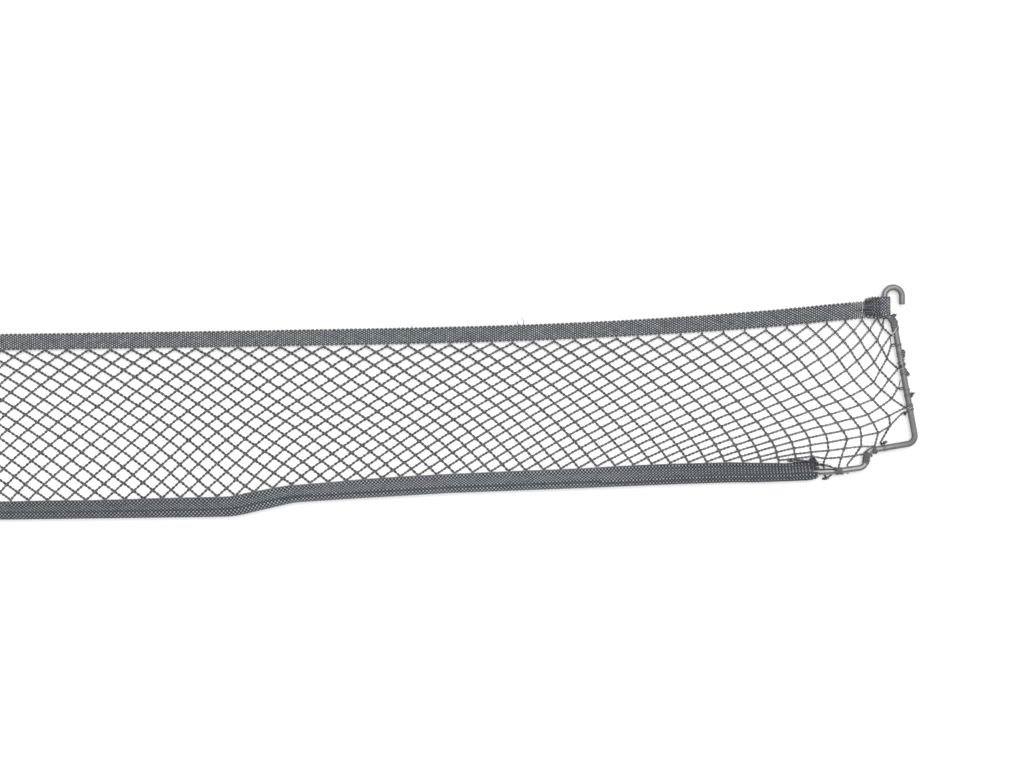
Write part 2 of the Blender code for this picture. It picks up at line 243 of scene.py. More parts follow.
class TreeBuilder:
    """Adds nodes to one of Blender's node trees."""

    def __init__(self, tree: Tree) -> None:
        """Keep the tree."""
        self.tree = tree

    def feed(self, socket: Socket, value: object) -> None:
        """Link an output to an input, or set the input to a plain value."""
        if isinstance(value, Socket):
            self.tree.links.new(value, socket)
        else:
            socket.default_value = value

    def add(self, kind: str, links: dict[str | int, object] | None = None,
            **settings: object) -> bpy.types.Node:
        """Add a node.

        Args:
            kind: Blender's node type.
            links: for each input, an output socket to link or a plain value.
            settings: properties of the node.

        Returns:
            The node.
        """
        node = self.tree.nodes.new(kind)
        for label, value in settings.items():
            setattr(node, label, value)
        for key, value in (links or {}).items():
            self.feed(node.inputs[key], value)
        return node


class Graph(TreeBuilder):
    """A node group under construction."""

    def __init__(self, name: str, kind: str, inputs: Sequence[tuple[str, str]],
                 outputs: Sequence[tuple[str, str]]) -> None:
        """Start a tree with its named sockets.

        Args:
            name: the tree's name.
            kind: Blender's tree type.
            inputs: name and socket type of each input.
            outputs: name and socket type of each output.
        """
        super().__init__(bpy.data.node_groups.new(name, kind))
        for direction, sockets in (("INPUT", inputs), ("OUTPUT", outputs)):
            for label, socket in sockets:
                self.tree.interface.new_socket(label, in_out=direction, socket_type=socket)
        self.start = self.tree.nodes.new("NodeGroupInput")
        self.end = self.tree.nodes.new("NodeGroupOutput")

    def attribute(self, label: str, kind: str = "FLOAT") -> Socket:
        """Return the output of a node that reads a named attribute."""
        return self.add("GeometryNodeInputNamedAttribute", {"Name": label},
                        data_type=kind).outputs["Attribute"]

    def maths(self, operation: str, one: object, two: object = 0.0) -> Socket:
        """Return the output of a Math node."""
        return self.add("ShaderNodeMath", {0: one, 1: two}, operation=operation).outputs[0]

    def vector(self, operation: str, one: object, two: object) -> Socket:
        """Return the output of a Vector Math node that has two vectors."""
        return self.add("ShaderNodeVectorMath", {0: one, 1: two},
                        operation=operation).outputs[0]

    def finish(self, **outputs: Socket) -> Tree:
        """Link the tree's outputs, which are given by name, and return the tree."""
        for label, socket in outputs.items():
            self.feed(self.end.inputs[label], socket)
        return self.tree


GEOMETRY = "NodeSocketGeometry"
FLOAT = "NodeSocketFloat"
SECTION_SOCKETS = (("Geometry", GEOMETRY), ("Width", FLOAT), ("Thickness", FLOAT),
                   ("Sides", "NodeSocketInt"), ("Material", "NodeSocketMaterial"))


def section_tree() -> Tree:
    """Build the group that sweeps an oval section along curves.

    Returns:
        The tree.  Its curves hold the attributes facing and fullness.
    """
    graph = Graph("Oval Section", "GeometryNodeTree", SECTION_SOCKETS[:-1],
                  (("Geometry", GEOMETRY),))
    ask = graph.start.outputs
    turned = graph.add("GeometryNodeSetCurveNormal", {
        "Curve": ask["Geometry"], "Normal": graph.attribute("facing", "FLOAT_VECTOR")},
        mode="FREE")
    measured = graph.add("GeometryNodeStoreNamedAttribute", {
        "Geometry": turned.outputs[0], "Name": "along",
        "Value": graph.add("GeometryNodeSplineParameter").outputs["Length"]})
    circle = graph.add("GeometryNodeCurvePrimitiveCircle", {
        "Resolution": ask["Sides"], "Radius": 0.5})
    size = graph.add("ShaderNodeCombineXYZ", {
        "X": ask["Thickness"], "Y": ask["Width"], "Z": 1.0})
    oval = graph.add("GeometryNodeTransform", {
        "Geometry": circle.outputs[0], "Scale": size.outputs[0]})
    around = graph.add("GeometryNodeStoreNamedAttribute", {
        "Geometry": oval.outputs[0], "Name": "around",
        "Value": graph.add("GeometryNodeSplineParameter").outputs["Factor"]})
    swept = graph.add("GeometryNodeCurveToMesh", {
        "Curve": measured.outputs[0], "Profile Curve": around.outputs[0],
        "Scale": graph.attribute("fullness"), "Fill Caps": True})
    smooth = graph.add("GeometryNodeSetShadeSmooth", {"Geometry": swept.outputs[0]})
    return graph.finish(Geometry=smooth.outputs[0])


class SweepGraph(Graph):
    """A tree that takes a mesh of lines, sweeps the section group and gives a material."""

    def __init__(self, name: str, section: Tree) -> None:
        """Start a tree with curves of its lines.

        Args:
            name: the tree's name.
            section: the group that sweeps a section.
        """
        super().__init__(name, "GeometryNodeTree", SECTION_SOCKETS, (("Geometry", GEOMETRY),))
        self.section = section
        self.curve = self.add("GeometryNodeMeshToCurve", {
            "Mesh": self.start.outputs["Geometry"]}).outputs[0]

    def swept(self, curve: Socket) -> Socket:
        """Return the mesh of a curve, swept at the tree's own sizes."""
        sizes = {label: self.start.outputs[label] for label in ("Width", "Thickness", "Sides")}
        return self.add("GeometryNodeGroup", {"Geometry": curve, **sizes},
                        node_tree=self.section).outputs[0]

    def dressed(self, mesh: Socket) -> Tree:
        """Return the finished tree, which makes a mesh real and gives it its material."""
        real = self.add("GeometryNodeRealizeInstances", {"Geometry": mesh})
        return self.finish(Geometry=self.add("GeometryNodeSetMaterial", {
            "Geometry": real.outputs[0],
            "Material": self.start.outputs["Material"]}).outputs[0])


def thread_tree(section: Tree) -> Tree:
    """Return the tree that makes single threads, yarns or wires of a mesh of lines."""
    graph = SweepGraph("Thread", section)
    return graph.dressed(graph.swept(graph.curve))


def twine_tree(section: Tree) -> Tree:
    """Build the tree that lays two twisted plies along a mesh of lines.

    Args:
        section: the group that sweeps a section.

    Returns:
        The tree.  Its lines hold the attributes turn, in radians, and parting, in metres.
    """
    graph = SweepGraph("Twine", section)
    ahead = graph.add("GeometryNodeInputTangent").outputs[0]
    facing = graph.attribute("facing", "FLOAT_VECTOR")
    side = graph.vector("CROSS_PRODUCT", facing, ahead)
    plies = graph.add("GeometryNodeJoinGeometry")
    for half_turn in (0.0, math.pi):
        angle = graph.maths("ADD", graph.attribute("turn"), half_turn)
        parting = graph.attribute("parting")
        apart, above = (
            graph.add("ShaderNodeVectorMath", {
                0: axis, "Scale": graph.maths("MULTIPLY", parting, graph.maths(wave, angle))},
                operation="SCALE").outputs[0]
            for axis, wave in ((side, "COSINE"), (facing, "SINE")))
        ply = graph.add("GeometryNodeSetPosition", {
            "Geometry": graph.curve, "Offset": graph.vector("ADD", apart, above)})
        graph.feed(plies.inputs[0], graph.swept(ply.outputs[0]))
    return graph.dressed(plies.outputs[0])


@dataclass(frozen=True)
class Section:
    """The section of a thread, in millimetres."""

    width: float
    thickness: float
    sides: int


class Loom:
    """Turns lines into threads with the Geometry Nodes trees, and holds the materials."""

    def __init__(self) -> None:
        """Mix the materials and build the trees."""
        self.palette = make_palette()
        section = section_tree()
        self.thread = thread_tree(section)
        self.twine = twine_tree(section)

    def weave(self, name: str, routes: Sequence[Route], section: Section, material: Material,
              tree: Tree | None = None) -> Piece:
        """Sweep threads along lines.

        Args:
            name: the piece's name.
            routes: the lines.
            section: the threads' section.
            material: their finish.
            tree: one of the loom's trees, or none for single threads.

        Returns:
            The piece, as a plain mesh.
        """
        seed = bpy.data.objects.new(f"{name}_lines", line_mesh(name, routes))
        bpy.context.collection.objects.link(seed)
        values = {"Width": section.width * MM, "Thickness": section.thickness * MM,
                  "Sides": section.sides, "Material": material}
        modifier = seed.modifiers.new("Sweep", "NODES")
        modifier.node_group = tree or self.thread
        for item in modifier.node_group.interface.items_tree:
            if item.in_out == "INPUT" and item.name in values:
                modifier[item.identifier] = values[item.name]
        evaluated = seed.evaluated_get(bpy.context.evaluated_depsgraph_get())
        mesh = bpy.data.meshes.new_from_object(evaluated)
        mesh.name = name
        seed.modifiers.remove(modifier)
        bpy.data.objects.remove(seed)
        piece = bpy.data.objects.new(name, mesh)
        bpy.context.collection.objects.link(piece)
        return piece


def flat_facing(count: int) -> Array:
    """Return upward directions for a number of points."""
    return np.tile((0.0, 0.0, 1.0), (count, 1))


# ---- Finishes ---------------------------------------------------------------------------


def mottle_group() -> Tree:
    """Build the shader group for uneven tone: two sizes of soft blotch.

    Returns:
        The group, which puts out a mask from zero to one.
    """
    finer, large_share, fine_share = 6.3, 0.6, 0.4
    graph = Graph("Mottle", "ShaderNodeTree",
                  (("Vector", "NodeSocketVector"), ("Scale", FLOAT), ("Contrast", FLOAT)),
                  (("Mask", FLOAT),))
    ask = graph.start.outputs
    large = graph.add("ShaderNodeTexNoise", {
        "Vector": ask["Vector"], "Scale": ask["Scale"], "Detail": 3.0, "Roughness": 0.6})
    fine_scale = graph.maths("MULTIPLY", ask["Scale"], finer)
    fine = graph.add("ShaderNodeTexNoise", {
        "Vector": ask["Vector"], "Scale": fine_scale, "Detail": 2.0, "Roughness": 0.55})
    both = graph.maths("ADD", graph.maths("MULTIPLY", large.outputs["Fac"], large_share),
                       graph.maths("MULTIPLY", fine.outputs["Fac"], fine_share))
    centred = graph.maths("SUBTRACT", both, 0.5)
    spread = graph.maths("MULTIPLY", centred, ask["Contrast"])
    mask = graph.add("ShaderNodeMath", {0: spread, 1: 0.5}, operation="ADD", use_clamp=True)
    return graph.finish(Mask=mask.outputs[0])


def fibre_group() -> Tree:
    """Build the shader group for the fine filaments of a yarn or thread.

    Returns:
        The group, which puts out a height from zero to one.
    """
    graph = Graph("Filaments", "ShaderNodeTree",
                  (("Along", FLOAT), ("Around", FLOAT), ("Count", FLOAT), ("Lay", FLOAT)),
                  (("Height", FLOAT),))
    ask = graph.start.outputs
    slanted = graph.maths("ADD", graph.maths("MULTIPLY", ask["Around"], ask["Count"]),
                          graph.maths("DIVIDE", ask["Along"], ask["Lay"]))
    wave = graph.maths("SINE", graph.maths("MULTIPLY", slanted, 2 * math.pi))
    height = graph.maths("ADD", graph.maths("MULTIPLY", wave, 0.5), 0.5)
    return graph.finish(Height=height)


WHITE: Colour = (1.0, 1.0, 1.0)


def opaque(colour: Colour | Socket) -> object:
    """Return a colour with full opacity; a socket stays as it is."""
    return (*colour, 1.0) if isinstance(colour, tuple) else colour


class Finish(TreeBuilder):
    """A material under construction round its Principled shader."""

    def __init__(self, name: str) -> None:
        """Start a material.

        Args:
            name: its name.
        """
        self.material = bpy.data.materials.new(name)
        self.material.use_nodes = True
        super().__init__(self.material.node_tree)
        self.shader = self.tree.nodes["Principled BSDF"]

    def shade(self, inputs: dict[str, object]) -> None:
        """Link outputs to inputs of the shader, or set those to plain values."""
        for label, value in inputs.items():
            self.feed(self.shader.inputs[label], value)

    def attribute(self, label: str) -> Socket:
        """Return the output of a node that reads a number kept on the mesh."""
        return self.add("ShaderNodeAttribute", attribute_name=label).outputs["Fac"]

    def mottle(self, group: Tree, scale: float, contrast: float) -> Socket:
        """Return an uneven mask of so many blotches a metre, stronger with more contrast."""
        place = self.add("ShaderNodeTexCoord").outputs["Object"]
        return self.add("ShaderNodeGroup", {
            "Vector": place, "Scale": scale, "Contrast": contrast},
            node_tree=group).outputs["Mask"]

    def filaments(self, group: Tree, count: float, lay: float) -> Socket:
        """Return the height of some filaments that go once round the thread in a lay."""
        return self.add("ShaderNodeGroup", {
            "Along": self.attribute("along"), "Around": self.attribute("around"),
            "Count": count, "Lay": lay}, node_tree=group).outputs["Height"]

    def blend(self, mask: Socket, dark: Colour | Socket, light: Colour | Socket) -> Socket:
        """Return a colour between two: the dark one where the mask is zero."""
        return self.add("ShaderNodeMix", {0: mask, 6: opaque(dark), 7: opaque(light)},
                        data_type="RGBA").outputs[2]

    def bump(self, height: Socket, distance: float, strength: float) -> None:
        """Feed a bump of a height in millimetres to the shader."""
        node = self.add("ShaderNodeBump", {
            "Height": height, "Distance": distance * MM, "Strength": strength})
        self.shade({"Normal": node.outputs["Normal"]})


@dataclass(frozen=True)
class WirePaint:
    """Thin satin paint over round steel wire."""

    dark: Colour = (0.08, 0.08, 0.082)
    light: Colour = (0.165, 0.165, 0.167)
    roughness: float = 0.27
    worn_roughness: float = 0.62
    coat_roughness: float = 0.2
    coat_ior: float = 1.75
    tone: Pair = (140.0, 1.6)       # scale and contrast of its mottle
    grain: Pair = (900.0, 1.4)
    grain_bump: Pair = (0.06, 0.4)  # height in millimetres, and strength

    def material(self, mottle: Tree) -> Material:
        """Return the material, uneven by the mottle group and dull where it is worn."""
        finish = Finish("wire_paint")
        worn = finish.attribute("worn")
        dullness = finish.add("ShaderNodeMapRange", {
            "Value": worn, "To Min": self.roughness, "To Max": self.worn_roughness})
        gloss = finish.add("ShaderNodeMath", {0: 1.0, 1: worn}, operation="SUBTRACT")
        finish.shade({
            "Base Color": finish.blend(
                finish.mottle(mottle, *self.tone), self.dark, self.light),
            "Roughness": dullness.outputs[0], "Specular IOR Level": 1.0,
            "Coat Weight": gloss.outputs[0], "Coat Roughness": self.coat_roughness,
            "Coat IOR": self.coat_ior})
        finish.bump(finish.mottle(mottle, *self.grain), *self.grain_bump)
        return finish.material


@dataclass(frozen=True)
class Yarn:
    """A matt textile yarn: its colour runs from dark to light by the lift attribute, which on
    braids and twine is painted shade where it dips and painted light where it rises, and on
    threads is their own tone.
    """

    name: str
    # dark colour: painted shade on braids and twine, the darkest tone on threads
    dark_and_shade_colour: Colour
    # light colour: painted light on braids and twine, the lightest tone on threads
    light_and_lit_colour: Colour
    pale: Colour                                    # painted highlights: the colour of its pale dots
    roughness: float = 0.8
    specular: float = 0.25
    glint_specks: Pair = (420.0, 3.2)     # painted highlights: scale and contrast of the mottle of its pale dots
    filaments: float = 6.0
    lay: float = 2.2
    filament_bump: Pair = (0.05, 0.6)

    def material(self, mottle: Tree, fibre: Tree) -> Material:
        """Make the material.

        Args:
            mottle: the group for uneven tone.
            fibre: the group for filaments.

        Returns:
            The material, which reads the attributes lift, along and around.
        """
        finish = Finish(self.name)
        lift = finish.attribute("lift")
        # painted highlights: pale dots that appear only where lift is high
        glint_mask = finish.add("ShaderNodeMath", {0: finish.mottle(mottle, *self.glint_specks), 1: lift},
                           operation="MULTIPLY")
        # painted shade and light on braids and twine, their own tone on threads: dark where lift
        # is low, light where it is high
        body = finish.blend(lift, self.dark_and_shade_colour, self.light_and_lit_colour)
        finish.shade({
            "Base Color": finish.blend(glint_mask.outputs[0], body, self.pale),
            "Roughness": self.roughness, "Specular IOR Level": self.specular})
        finish.bump(finish.filaments(fibre, self.filaments, self.lay * MM),
                    *self.filament_bump)
        return finish.material


@dataclass(frozen=True)
class Palette:
    """Every material of the net."""

    wire: Material
    top_yarn: Material
    sleeve_yarn: Material
    # painted shade: the dark cloth under the braids, seen only in the gaps between the yarns
    ground: Material
    twine: Material
    thread: Material
    pale_thread: Material
    stitch: Material


# each yarn: its dark colour and light colour, which are painted shade and painted light on
# braids and twine, and the colour of its painted highlights
YARNS = (                           # in the palette's order
    Yarn("top_tape_yarn", (0.03, 0.033, 0.036), (0.27, 0.285, 0.30), (0.62, 0.64, 0.66)),
    Yarn("sleeve_yarn", (0.022, 0.026, 0.03), (0.34, 0.365, 0.395), (0.55, 0.57, 0.60)),
    # painted shade: the tapes' ground cloth, coloured as the dark in the gaps between the yarns
    Yarn("tape_ground", (0.03, 0.032, 0.035), (0.03, 0.032, 0.035), (0.05, 0.052, 0.055)),
    Yarn("net_twine", (0.018, 0.018, 0.019), (0.13, 0.13, 0.133), (0.28, 0.28, 0.285)),
    Yarn("lashing_thread", (0.03, 0.03, 0.033), (0.15, 0.146, 0.15), (0.30, 0.29, 0.30)),
    Yarn("pale_thread", (0.25, 0.25, 0.25), (0.55, 0.55, 0.55), (0.75, 0.75, 0.75)),
    Yarn("stitching_thread", (0.03, 0.032, 0.038), (0.16, 0.17, 0.195), (0.24, 0.25, 0.28)),
)


def make_palette() -> Palette:
    """Return every material."""
    mottle, fibre = mottle_group(), fibre_group()
    return Palette(WirePaint().material(mottle),
                   *(yarn.material(mottle, fibre) for yarn in YARNS))


def finish_piece(piece: Piece, slot: Slot, *nodes: str) -> Piece:
    """Let a piece ride on the frame and stand for what it replaces.

    Args:
        piece: the piece.
        slot: the record's slot for its finish; not used.
        nodes: the CAD nodes that it stands for.

    Returns:
        The piece.
    """
    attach(piece, BODY)
    if nodes:
        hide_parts(*nodes)
    triangles = sum(len(face.vertices) - 2 for face in piece.data.polygons)
    LOG.info("%s: %d triangles", piece.name, triangles)
    return piece


# ---- Wire frame -------------------------------------------------------------------------


@dataclass
class WireFrame:
    """The bent wire: an open hook, a slanted side, a step and a rail, the same at each end."""

    diameter: float = 4.0
    height: float = 3.5             # of its centre line above the surface
    stem_across: float = 434.4
    hook_width: float = 11.4
    hook_bend: float = 5.6
    hook_top: float = 74.2
    hook_tip: float = 63.1
    end_drop: float = 26.0          # the left end lies this much lower than the right end
    bend_step: float = math.radians(5.0)
    # length from a tip, and how worn the paint is there: dull on the slanted side
    wear: Table = (
        (0.0, 0.6), (8.0, 0.75), (24.0, 0.3), (40.0, 0.6), (62.0, 1.0), (128.0, 1.0),
        (142.0, 0.3), (170.0, 0.1))
    # length from a tip, and the share of its thickness there, for a softened cut edge
    tip_taper: Table = ((0.0, 0.86), (0.12, 0.96), (0.35, 1.0))
    stem_foot: float = 57.2         # level of the stem's lower bend
    stem_bend: float = 4.0
    # the slanted side, the lower run, the step and the rail's end, all of the right end
    side: tuple[Corner, ...] = (
        Corner(440.3, 52.8, 5.0), Corner(455.0, -26.6, 5.4), Corner(423.2, -32.1, 4.5),
        Corner(422.0, -42.6, 5.0), Corner(405.6, -45.0, 20.0))
    rail: tuple[Corner, ...] = (    # from right to left
        Corner(350.0, -48.4, 300.0), Corner(153.0, -55.6, 300.0), Corner(50.0, -62.0, 60.0),
        Corner(12.0, -71.0, 60.0), Corner(-137.0, -72.8, 300.0))
    stem_from: int = 2              # the corners of the right end from the hook's bend to
    stem_to: int = 6                # the one under the slanted side
    sides: int = 20

    def __post_init__(self) -> None:
        """Bend the wire, from the right hook's cut tip to the left one's."""
        tip = self.stem_across + self.hook_width
        right = [Corner(tip, self.hook_tip, 0.0),
                 Corner(tip, self.hook_top, self.hook_bend),
                 Corner(self.stem_across, self.hook_top, self.hook_bend),
                 Corner(self.stem_across, self.stem_foot, self.stem_bend), *self.side]
        left = [Corner(-corner.across, corner.up - self.end_drop, corner.radius)
                for corner in reversed(right)]
        self.line = rounded_line([*right, *self.rail, *left], self.bend_step)
        self.stem_line = rounded_line(
            right[self.stem_from:self.stem_to], self.bend_step).reversed()

    def drop(self, end: End) -> float:
        """Return how much lower an end lies than the right one."""
        return self.end_drop if end is End.LEFT else 0.0

    def stem_places(self, end: End, ups: Array) -> Array:
        """Return the places where the slanted side of an end passes some levels."""
        line = self.stem_line.points
        return end.value * np.interp(ups + self.drop(end), line[:, 1], line[:, 0])

    def around(self, lengths: Array, radii: Array, angles: Array) -> tuple[Array, Array]:
        """Find points round the wire.

        Args:
            lengths: lengths from the right hook's tip.
            radii: distances from the wire's centre line.
            angles: angles round it, zero on its outer side and rising over its top.

        Returns:
            The points, and the directions from the wire to them.
        """
        centres, ahead = self.line.at(lengths)
        side = turned_left(ahead)
        out = np.column_stack((side * np.cos(angles)[:, None], np.sin(angles)))
        return np.column_stack((centres, np.full(len(centres), self.height))) + (
            out * radii[:, None]), out

    def build(self, loom: Loom) -> Piece:
        """Sweep the wire.

        Args:
            loom: the trees and the materials.

        Returns:
            The piece.
        """
        tip = np.array([place for place, _ in self.tip_taper])
        lengths = np.unique(np.concatenate((
            tip, self.line.lengths, self.line.length - tip)))
        points, _ = self.line.at(lengths)
        from_tip = np.minimum(lengths, self.line.length - lengths)
        route = Route(
            np.column_stack((points, np.full(len(points), self.height))),
            flat_facing(len(points)),
            {"fullness": read_table(self.tip_taper, from_tip),
             "lift": np.ones(len(points)), "worn": read_table(self.wear, from_tip)})
        section = Section(self.diameter, self.diameter, self.sides)
        piece = loom.weave("painted_wire", [route], section, loom.palette.wire)
        return finish_piece(piece, Slot.WIRE, "wire_frame")


# ---- Braided tapes ----------------------------------------------------------------------


@dataclass(frozen=True)
class Fold:
    """Cloth that goes round the wire, seen along it: two layers and a turn."""

    wire_height: float
    radius: float                   # from the wire's centre to the middle of the cloth
    settles: float                  # from the wire to where the layers lie flat
    lower: float
    upper: float
    step: float = math.radians(12.0)

    def leaves_at(self, level: float, side: int) -> float:
        """Return the angle round the wire where a layer of some level leaves it."""
        rise = level - self.wire_height
        return (math.atan2(rise, self.settles)
                + side * math.acos(self.radius / math.hypot(self.settles, rise)))

    def profile(self, length: float) -> Array:
        """Return the cloth's middle from its lower layer round the wire to its upper one.

        Args:
            length: how far both layers reach from the wire's centre.

        Returns:
            Points of distance from the wire and height.
        """
        start = self.leaves_at(self.lower, -1)
        turn = 2 * math.pi + start - self.leaves_at(self.upper, 1)
        angles = start - np.linspace(0.0, turn, math.ceil(turn / self.step) + 1)
        arc = np.stack((self.radius * np.cos(angles),
                        self.wire_height + self.radius * np.sin(angles)), axis=-1)
        return np.concatenate((
            [(length, self.lower), (self.settles, self.lower)], arc,
            [(self.settles, self.upper), (length, self.upper)]))


class Cloth(Protocol):
    """A braided tape as it lies on the frame."""

    def place(self, along: Array, across: Array, lift: Array) -> tuple[Array, Array]:
        """Return points of the tape and its facing there."""

    def look(self, points: Array, across: Array) -> tuple[Array, Array]:
        """Return how full and how light the yarns are at some points."""


@dataclass
class Braid:
    """The lay of a flat braid: yarns zigzag from edge to edge, over and under in turn."""

    ribs: int
    rib_width: float
    pitches: Table                  # length from either end, pitch there
    middle_pitch: float
    lift: float = 0.30              # how far a yarn rises from the middle of the tape
    edge_out: float = 0.25          # how far a yarn's turn bulges at the edge
    stations: int = 2000            # at which the pitches are read

    def phases(self, length: float) -> tuple[Array, Array]:
        """Count pitches along the tape.

        Args:
            length: the tape's length.

        Returns:
            Lengths and the number of pitches from the start to each.
        """
        lengths = np.linspace(0.0, length, self.stations)
        back = [(length - place, pitch) for place, pitch in reversed(self.pitches)]
        steps = 1.0 / read_table(
            [*self.pitches, (length / 2, self.middle_pitch), *back], lengths)
        counts = np.concatenate(([0.0], np.cumsum(
            (steps[1:] + steps[:-1]) / 2 * np.diff(lengths))))
        return lengths, counts

    def yarns(self, length: float) -> list[tuple[Array, Array, Array]]:
        """Return lengths along a tape, distances from its middle and heights of each yarn."""
        lengths, counts = self.phases(length)
        return [self._one(start, lengths, counts) for start in range(self.ribs)]

    def _one(self, start: int, lengths: Array, counts: Array) -> tuple[Array, Array, Array]:
        """Lay one yarn, which crosses a rib in every half pitch."""
        steps = np.arange(-4 * start, 4 * math.ceil(counts[-1]) + 1) / 2
        phase = start + steps / 2
        inside = (phase >= 0.0) & (phase <= counts[-1])
        steps, phase = steps[inside], phase[inside]
        around = np.mod(steps, 2 * self.ribs)
        rib = np.where(around > self.ribs, 2 * self.ribs - around, around)
        even = np.rint(rib).astype(int) % 2 == 0
        on_top = even == (around < self.ribs)
        at_edge = (rib < 0.01) | (rib > self.ribs - 0.01)
        crosses = (steps % 1 < 0.25) & ~at_edge
        height = np.where(crosses, np.where(on_top, self.lift, -self.lift), 0.0)
        across = (rib - self.ribs / 2) * self.rib_width
        across = across + np.where(at_edge, np.sign(across) * self.edge_out, 0.0)
        return np.interp(phase, counts, lengths), across, height


@dataclass
class TopTape:
    """The upper edge tape, stretched between the stems with both ends folded back."""

    wire: WireFrame
    width: float = 10.8
    level: float = 38.6
    rise_from: float = -137.0
    rise_length: float = 569.0
    even_rise: float = 8.0
    end_rise: float = 14.0
    folded_back: float = 10.7
    fold_spread: float = 1.22
    fold: Fold = Fold(3.5, 2.9, 4.8, 2.75, 4.25)
    ground: float = 0.3             # thickness of the cloth under the braid
    ground_margin: float = 0.9      # from the tape's edge to that cloth's
    ground_stations: int = 700
    ground_columns: int = 5
    ground_gap: float = 0.12        # the cloth's share of its width where the braid is open
    yarn: Section = Section(1.08, 0.56, 4)
    ribs: int = 13
    pitches: Table = ((0.0, 1.9), (24.0, 1.95), (60.0, 2.8))
    middle_pitch: float = 2.8
    edge_yarns: float = 0.9         # what the yarns' turns take of its width
    # place along the strip, and how much higher the tape lies there than its even rise
    lie: Table = (
        (-140.0, 0.1), (60.0, 0.0), (130.0, -0.2), (205.0, -0.36), (245.0, -0.16),
        (300.0, 0.0), (366.0, 0.2), (398.0, 0.55), (420.0, 0.3))
    # length from the flap's end, and how much wider the tape is there than when stretched
    flap_spread: Table = (
        (0.0, 1.17), (5.2, 1.44), (10.3, 1.29), (12.9, 1.27), (15.8, 1.13), (18.3, 0.97),
        (23.0, 0.97), (30.0, 1.06), (90.0, 1.06), (200.0, 1.0))
    # length from the flap's end, and how much higher its middle lies
    flap_rise: Table = (
        (0.0, 0.9), (5.2, 0.3), (10.3, 0.5), (15.8, 0.7), (18.3, 1.3), (23.0, 1.3),
        (34.0, 0.0))
    open_from: float = 411.0        # where the braid starts to stand open next to the flap
    open_to: float = 422.5
    open_fullness: float = 0.66
    gap_fullness: float = 0.92      # fullness under which the braid counts as open
    flap_lightness: float = 0.9

    def look(self, points: Array, across: Array) -> tuple[Array, Array]:
        """Tell how the yarns look: thinner where the braid stands open.

        Args:
            points: points of yarns.
            across: their distances from the tape's middle; not used.

        Returns:
            How full and how light they are.
        """
        far = np.abs(points[:, 0])
        share = smooth_step((far - self.open_from) / (self.open_to - self.open_from))
        share = share * ((far < self.open_to) & (points[:, 2] < self.fold.wire_height))
        tone = np.where(points[:, 2] > self.fold.wire_height, self.flap_lightness, 1.0)
        return 1 - (1 - self.open_fullness) * share, tone

    def tape_level(self, across: Array) -> Array:
        """Return the tape's middle at places along the strip."""
        share = (across - self.rise_from) / self.rise_length
        return self.level + self.even_rise * share + self.end_rise * np.maximum(share, 0) ** 4

    def __post_init__(self) -> None:
        """Lay out the tape's line, from the left flap to the right one."""
        self.straight = self.wire.stem_across - 2 * self.folded_back
        right = self.fold.profile(self.folded_back) * (-self.fold_spread, 1.0)
        right += (self.wire.stem_across, 0.0)
        left = right[::-1] * (-1.0, 1.0)
        self.line = PlaneLine(np.concatenate((left, right)))

    def place(self, along: Array, across: Array, lift: Array) -> tuple[Array, Array]:
        """Place points of the tape.

        Args:
            along: lengths from the left flap's end.
            across: distances from the tape's middle, upwards.
            lift: heights over the cloth.

        Returns:
            The points and the cloth's facing there.
        """
        points, ahead = self.line.at(along)
        facing = turned_left(ahead)
        x, z = (points + facing * lift[:, None]).T
        level = self.tape_level(x) + read_table(self.lie, x)
        from_end = np.minimum(along, self.line.length - along)
        across = across * read_table(self.flap_spread, from_end)
        level = level + read_table(self.flap_rise, from_end)
        for end in End:
            out = smooth_step((end.value * x - self.straight) / (2 * self.folded_back))
            shift = self.wire.stem_places(end, level + across) - (
                end.value * self.wire.stem_across)
            x = x + out * shift
        place = np.stack((x, level + across, z), axis=-1)
        normal = np.stack((facing[..., 0], np.zeros_like(x), facing[..., 1]), axis=-1)
        return place, normal

    def build(self, loom: Loom) -> list[Piece]:
        """Weave the tape.

        Args:
            loom: the trees and the materials.

        Returns:
            The ground cloth and the braid on it.
        """
        length = self.line.length
        stations = np.linspace(0.0, length, self.ground_stations)
        none = np.zeros_like(stations)
        fullness = self.look(self.place(stations, none, none)[0], none)[0]
        narrow = np.where(fullness < self.gap_fullness, self.ground_gap, 1.0)
        columns = np.linspace(-0.5, 0.5, self.ground_columns) * (
            self.width - 2 * self.ground_margin)
        ground = sheet_of_cloth("top_tape_ground", self, stations, np.outer(narrow, columns),
                                self.ground, loom.palette.ground)
        finish_piece(ground, Slot.TAPE, "top_tape")
        braid = Braid(self.ribs, (self.width - self.edge_yarns) / self.ribs, self.pitches,
                      self.middle_pitch)
        cover = loom.weave("top_tape_braid", braid_routes(braid, self, length), self.yarn,
                           loom.palette.top_yarn)
        finish_piece(cover, Slot.TAPE, "top_tape")
        return [ground, cover]


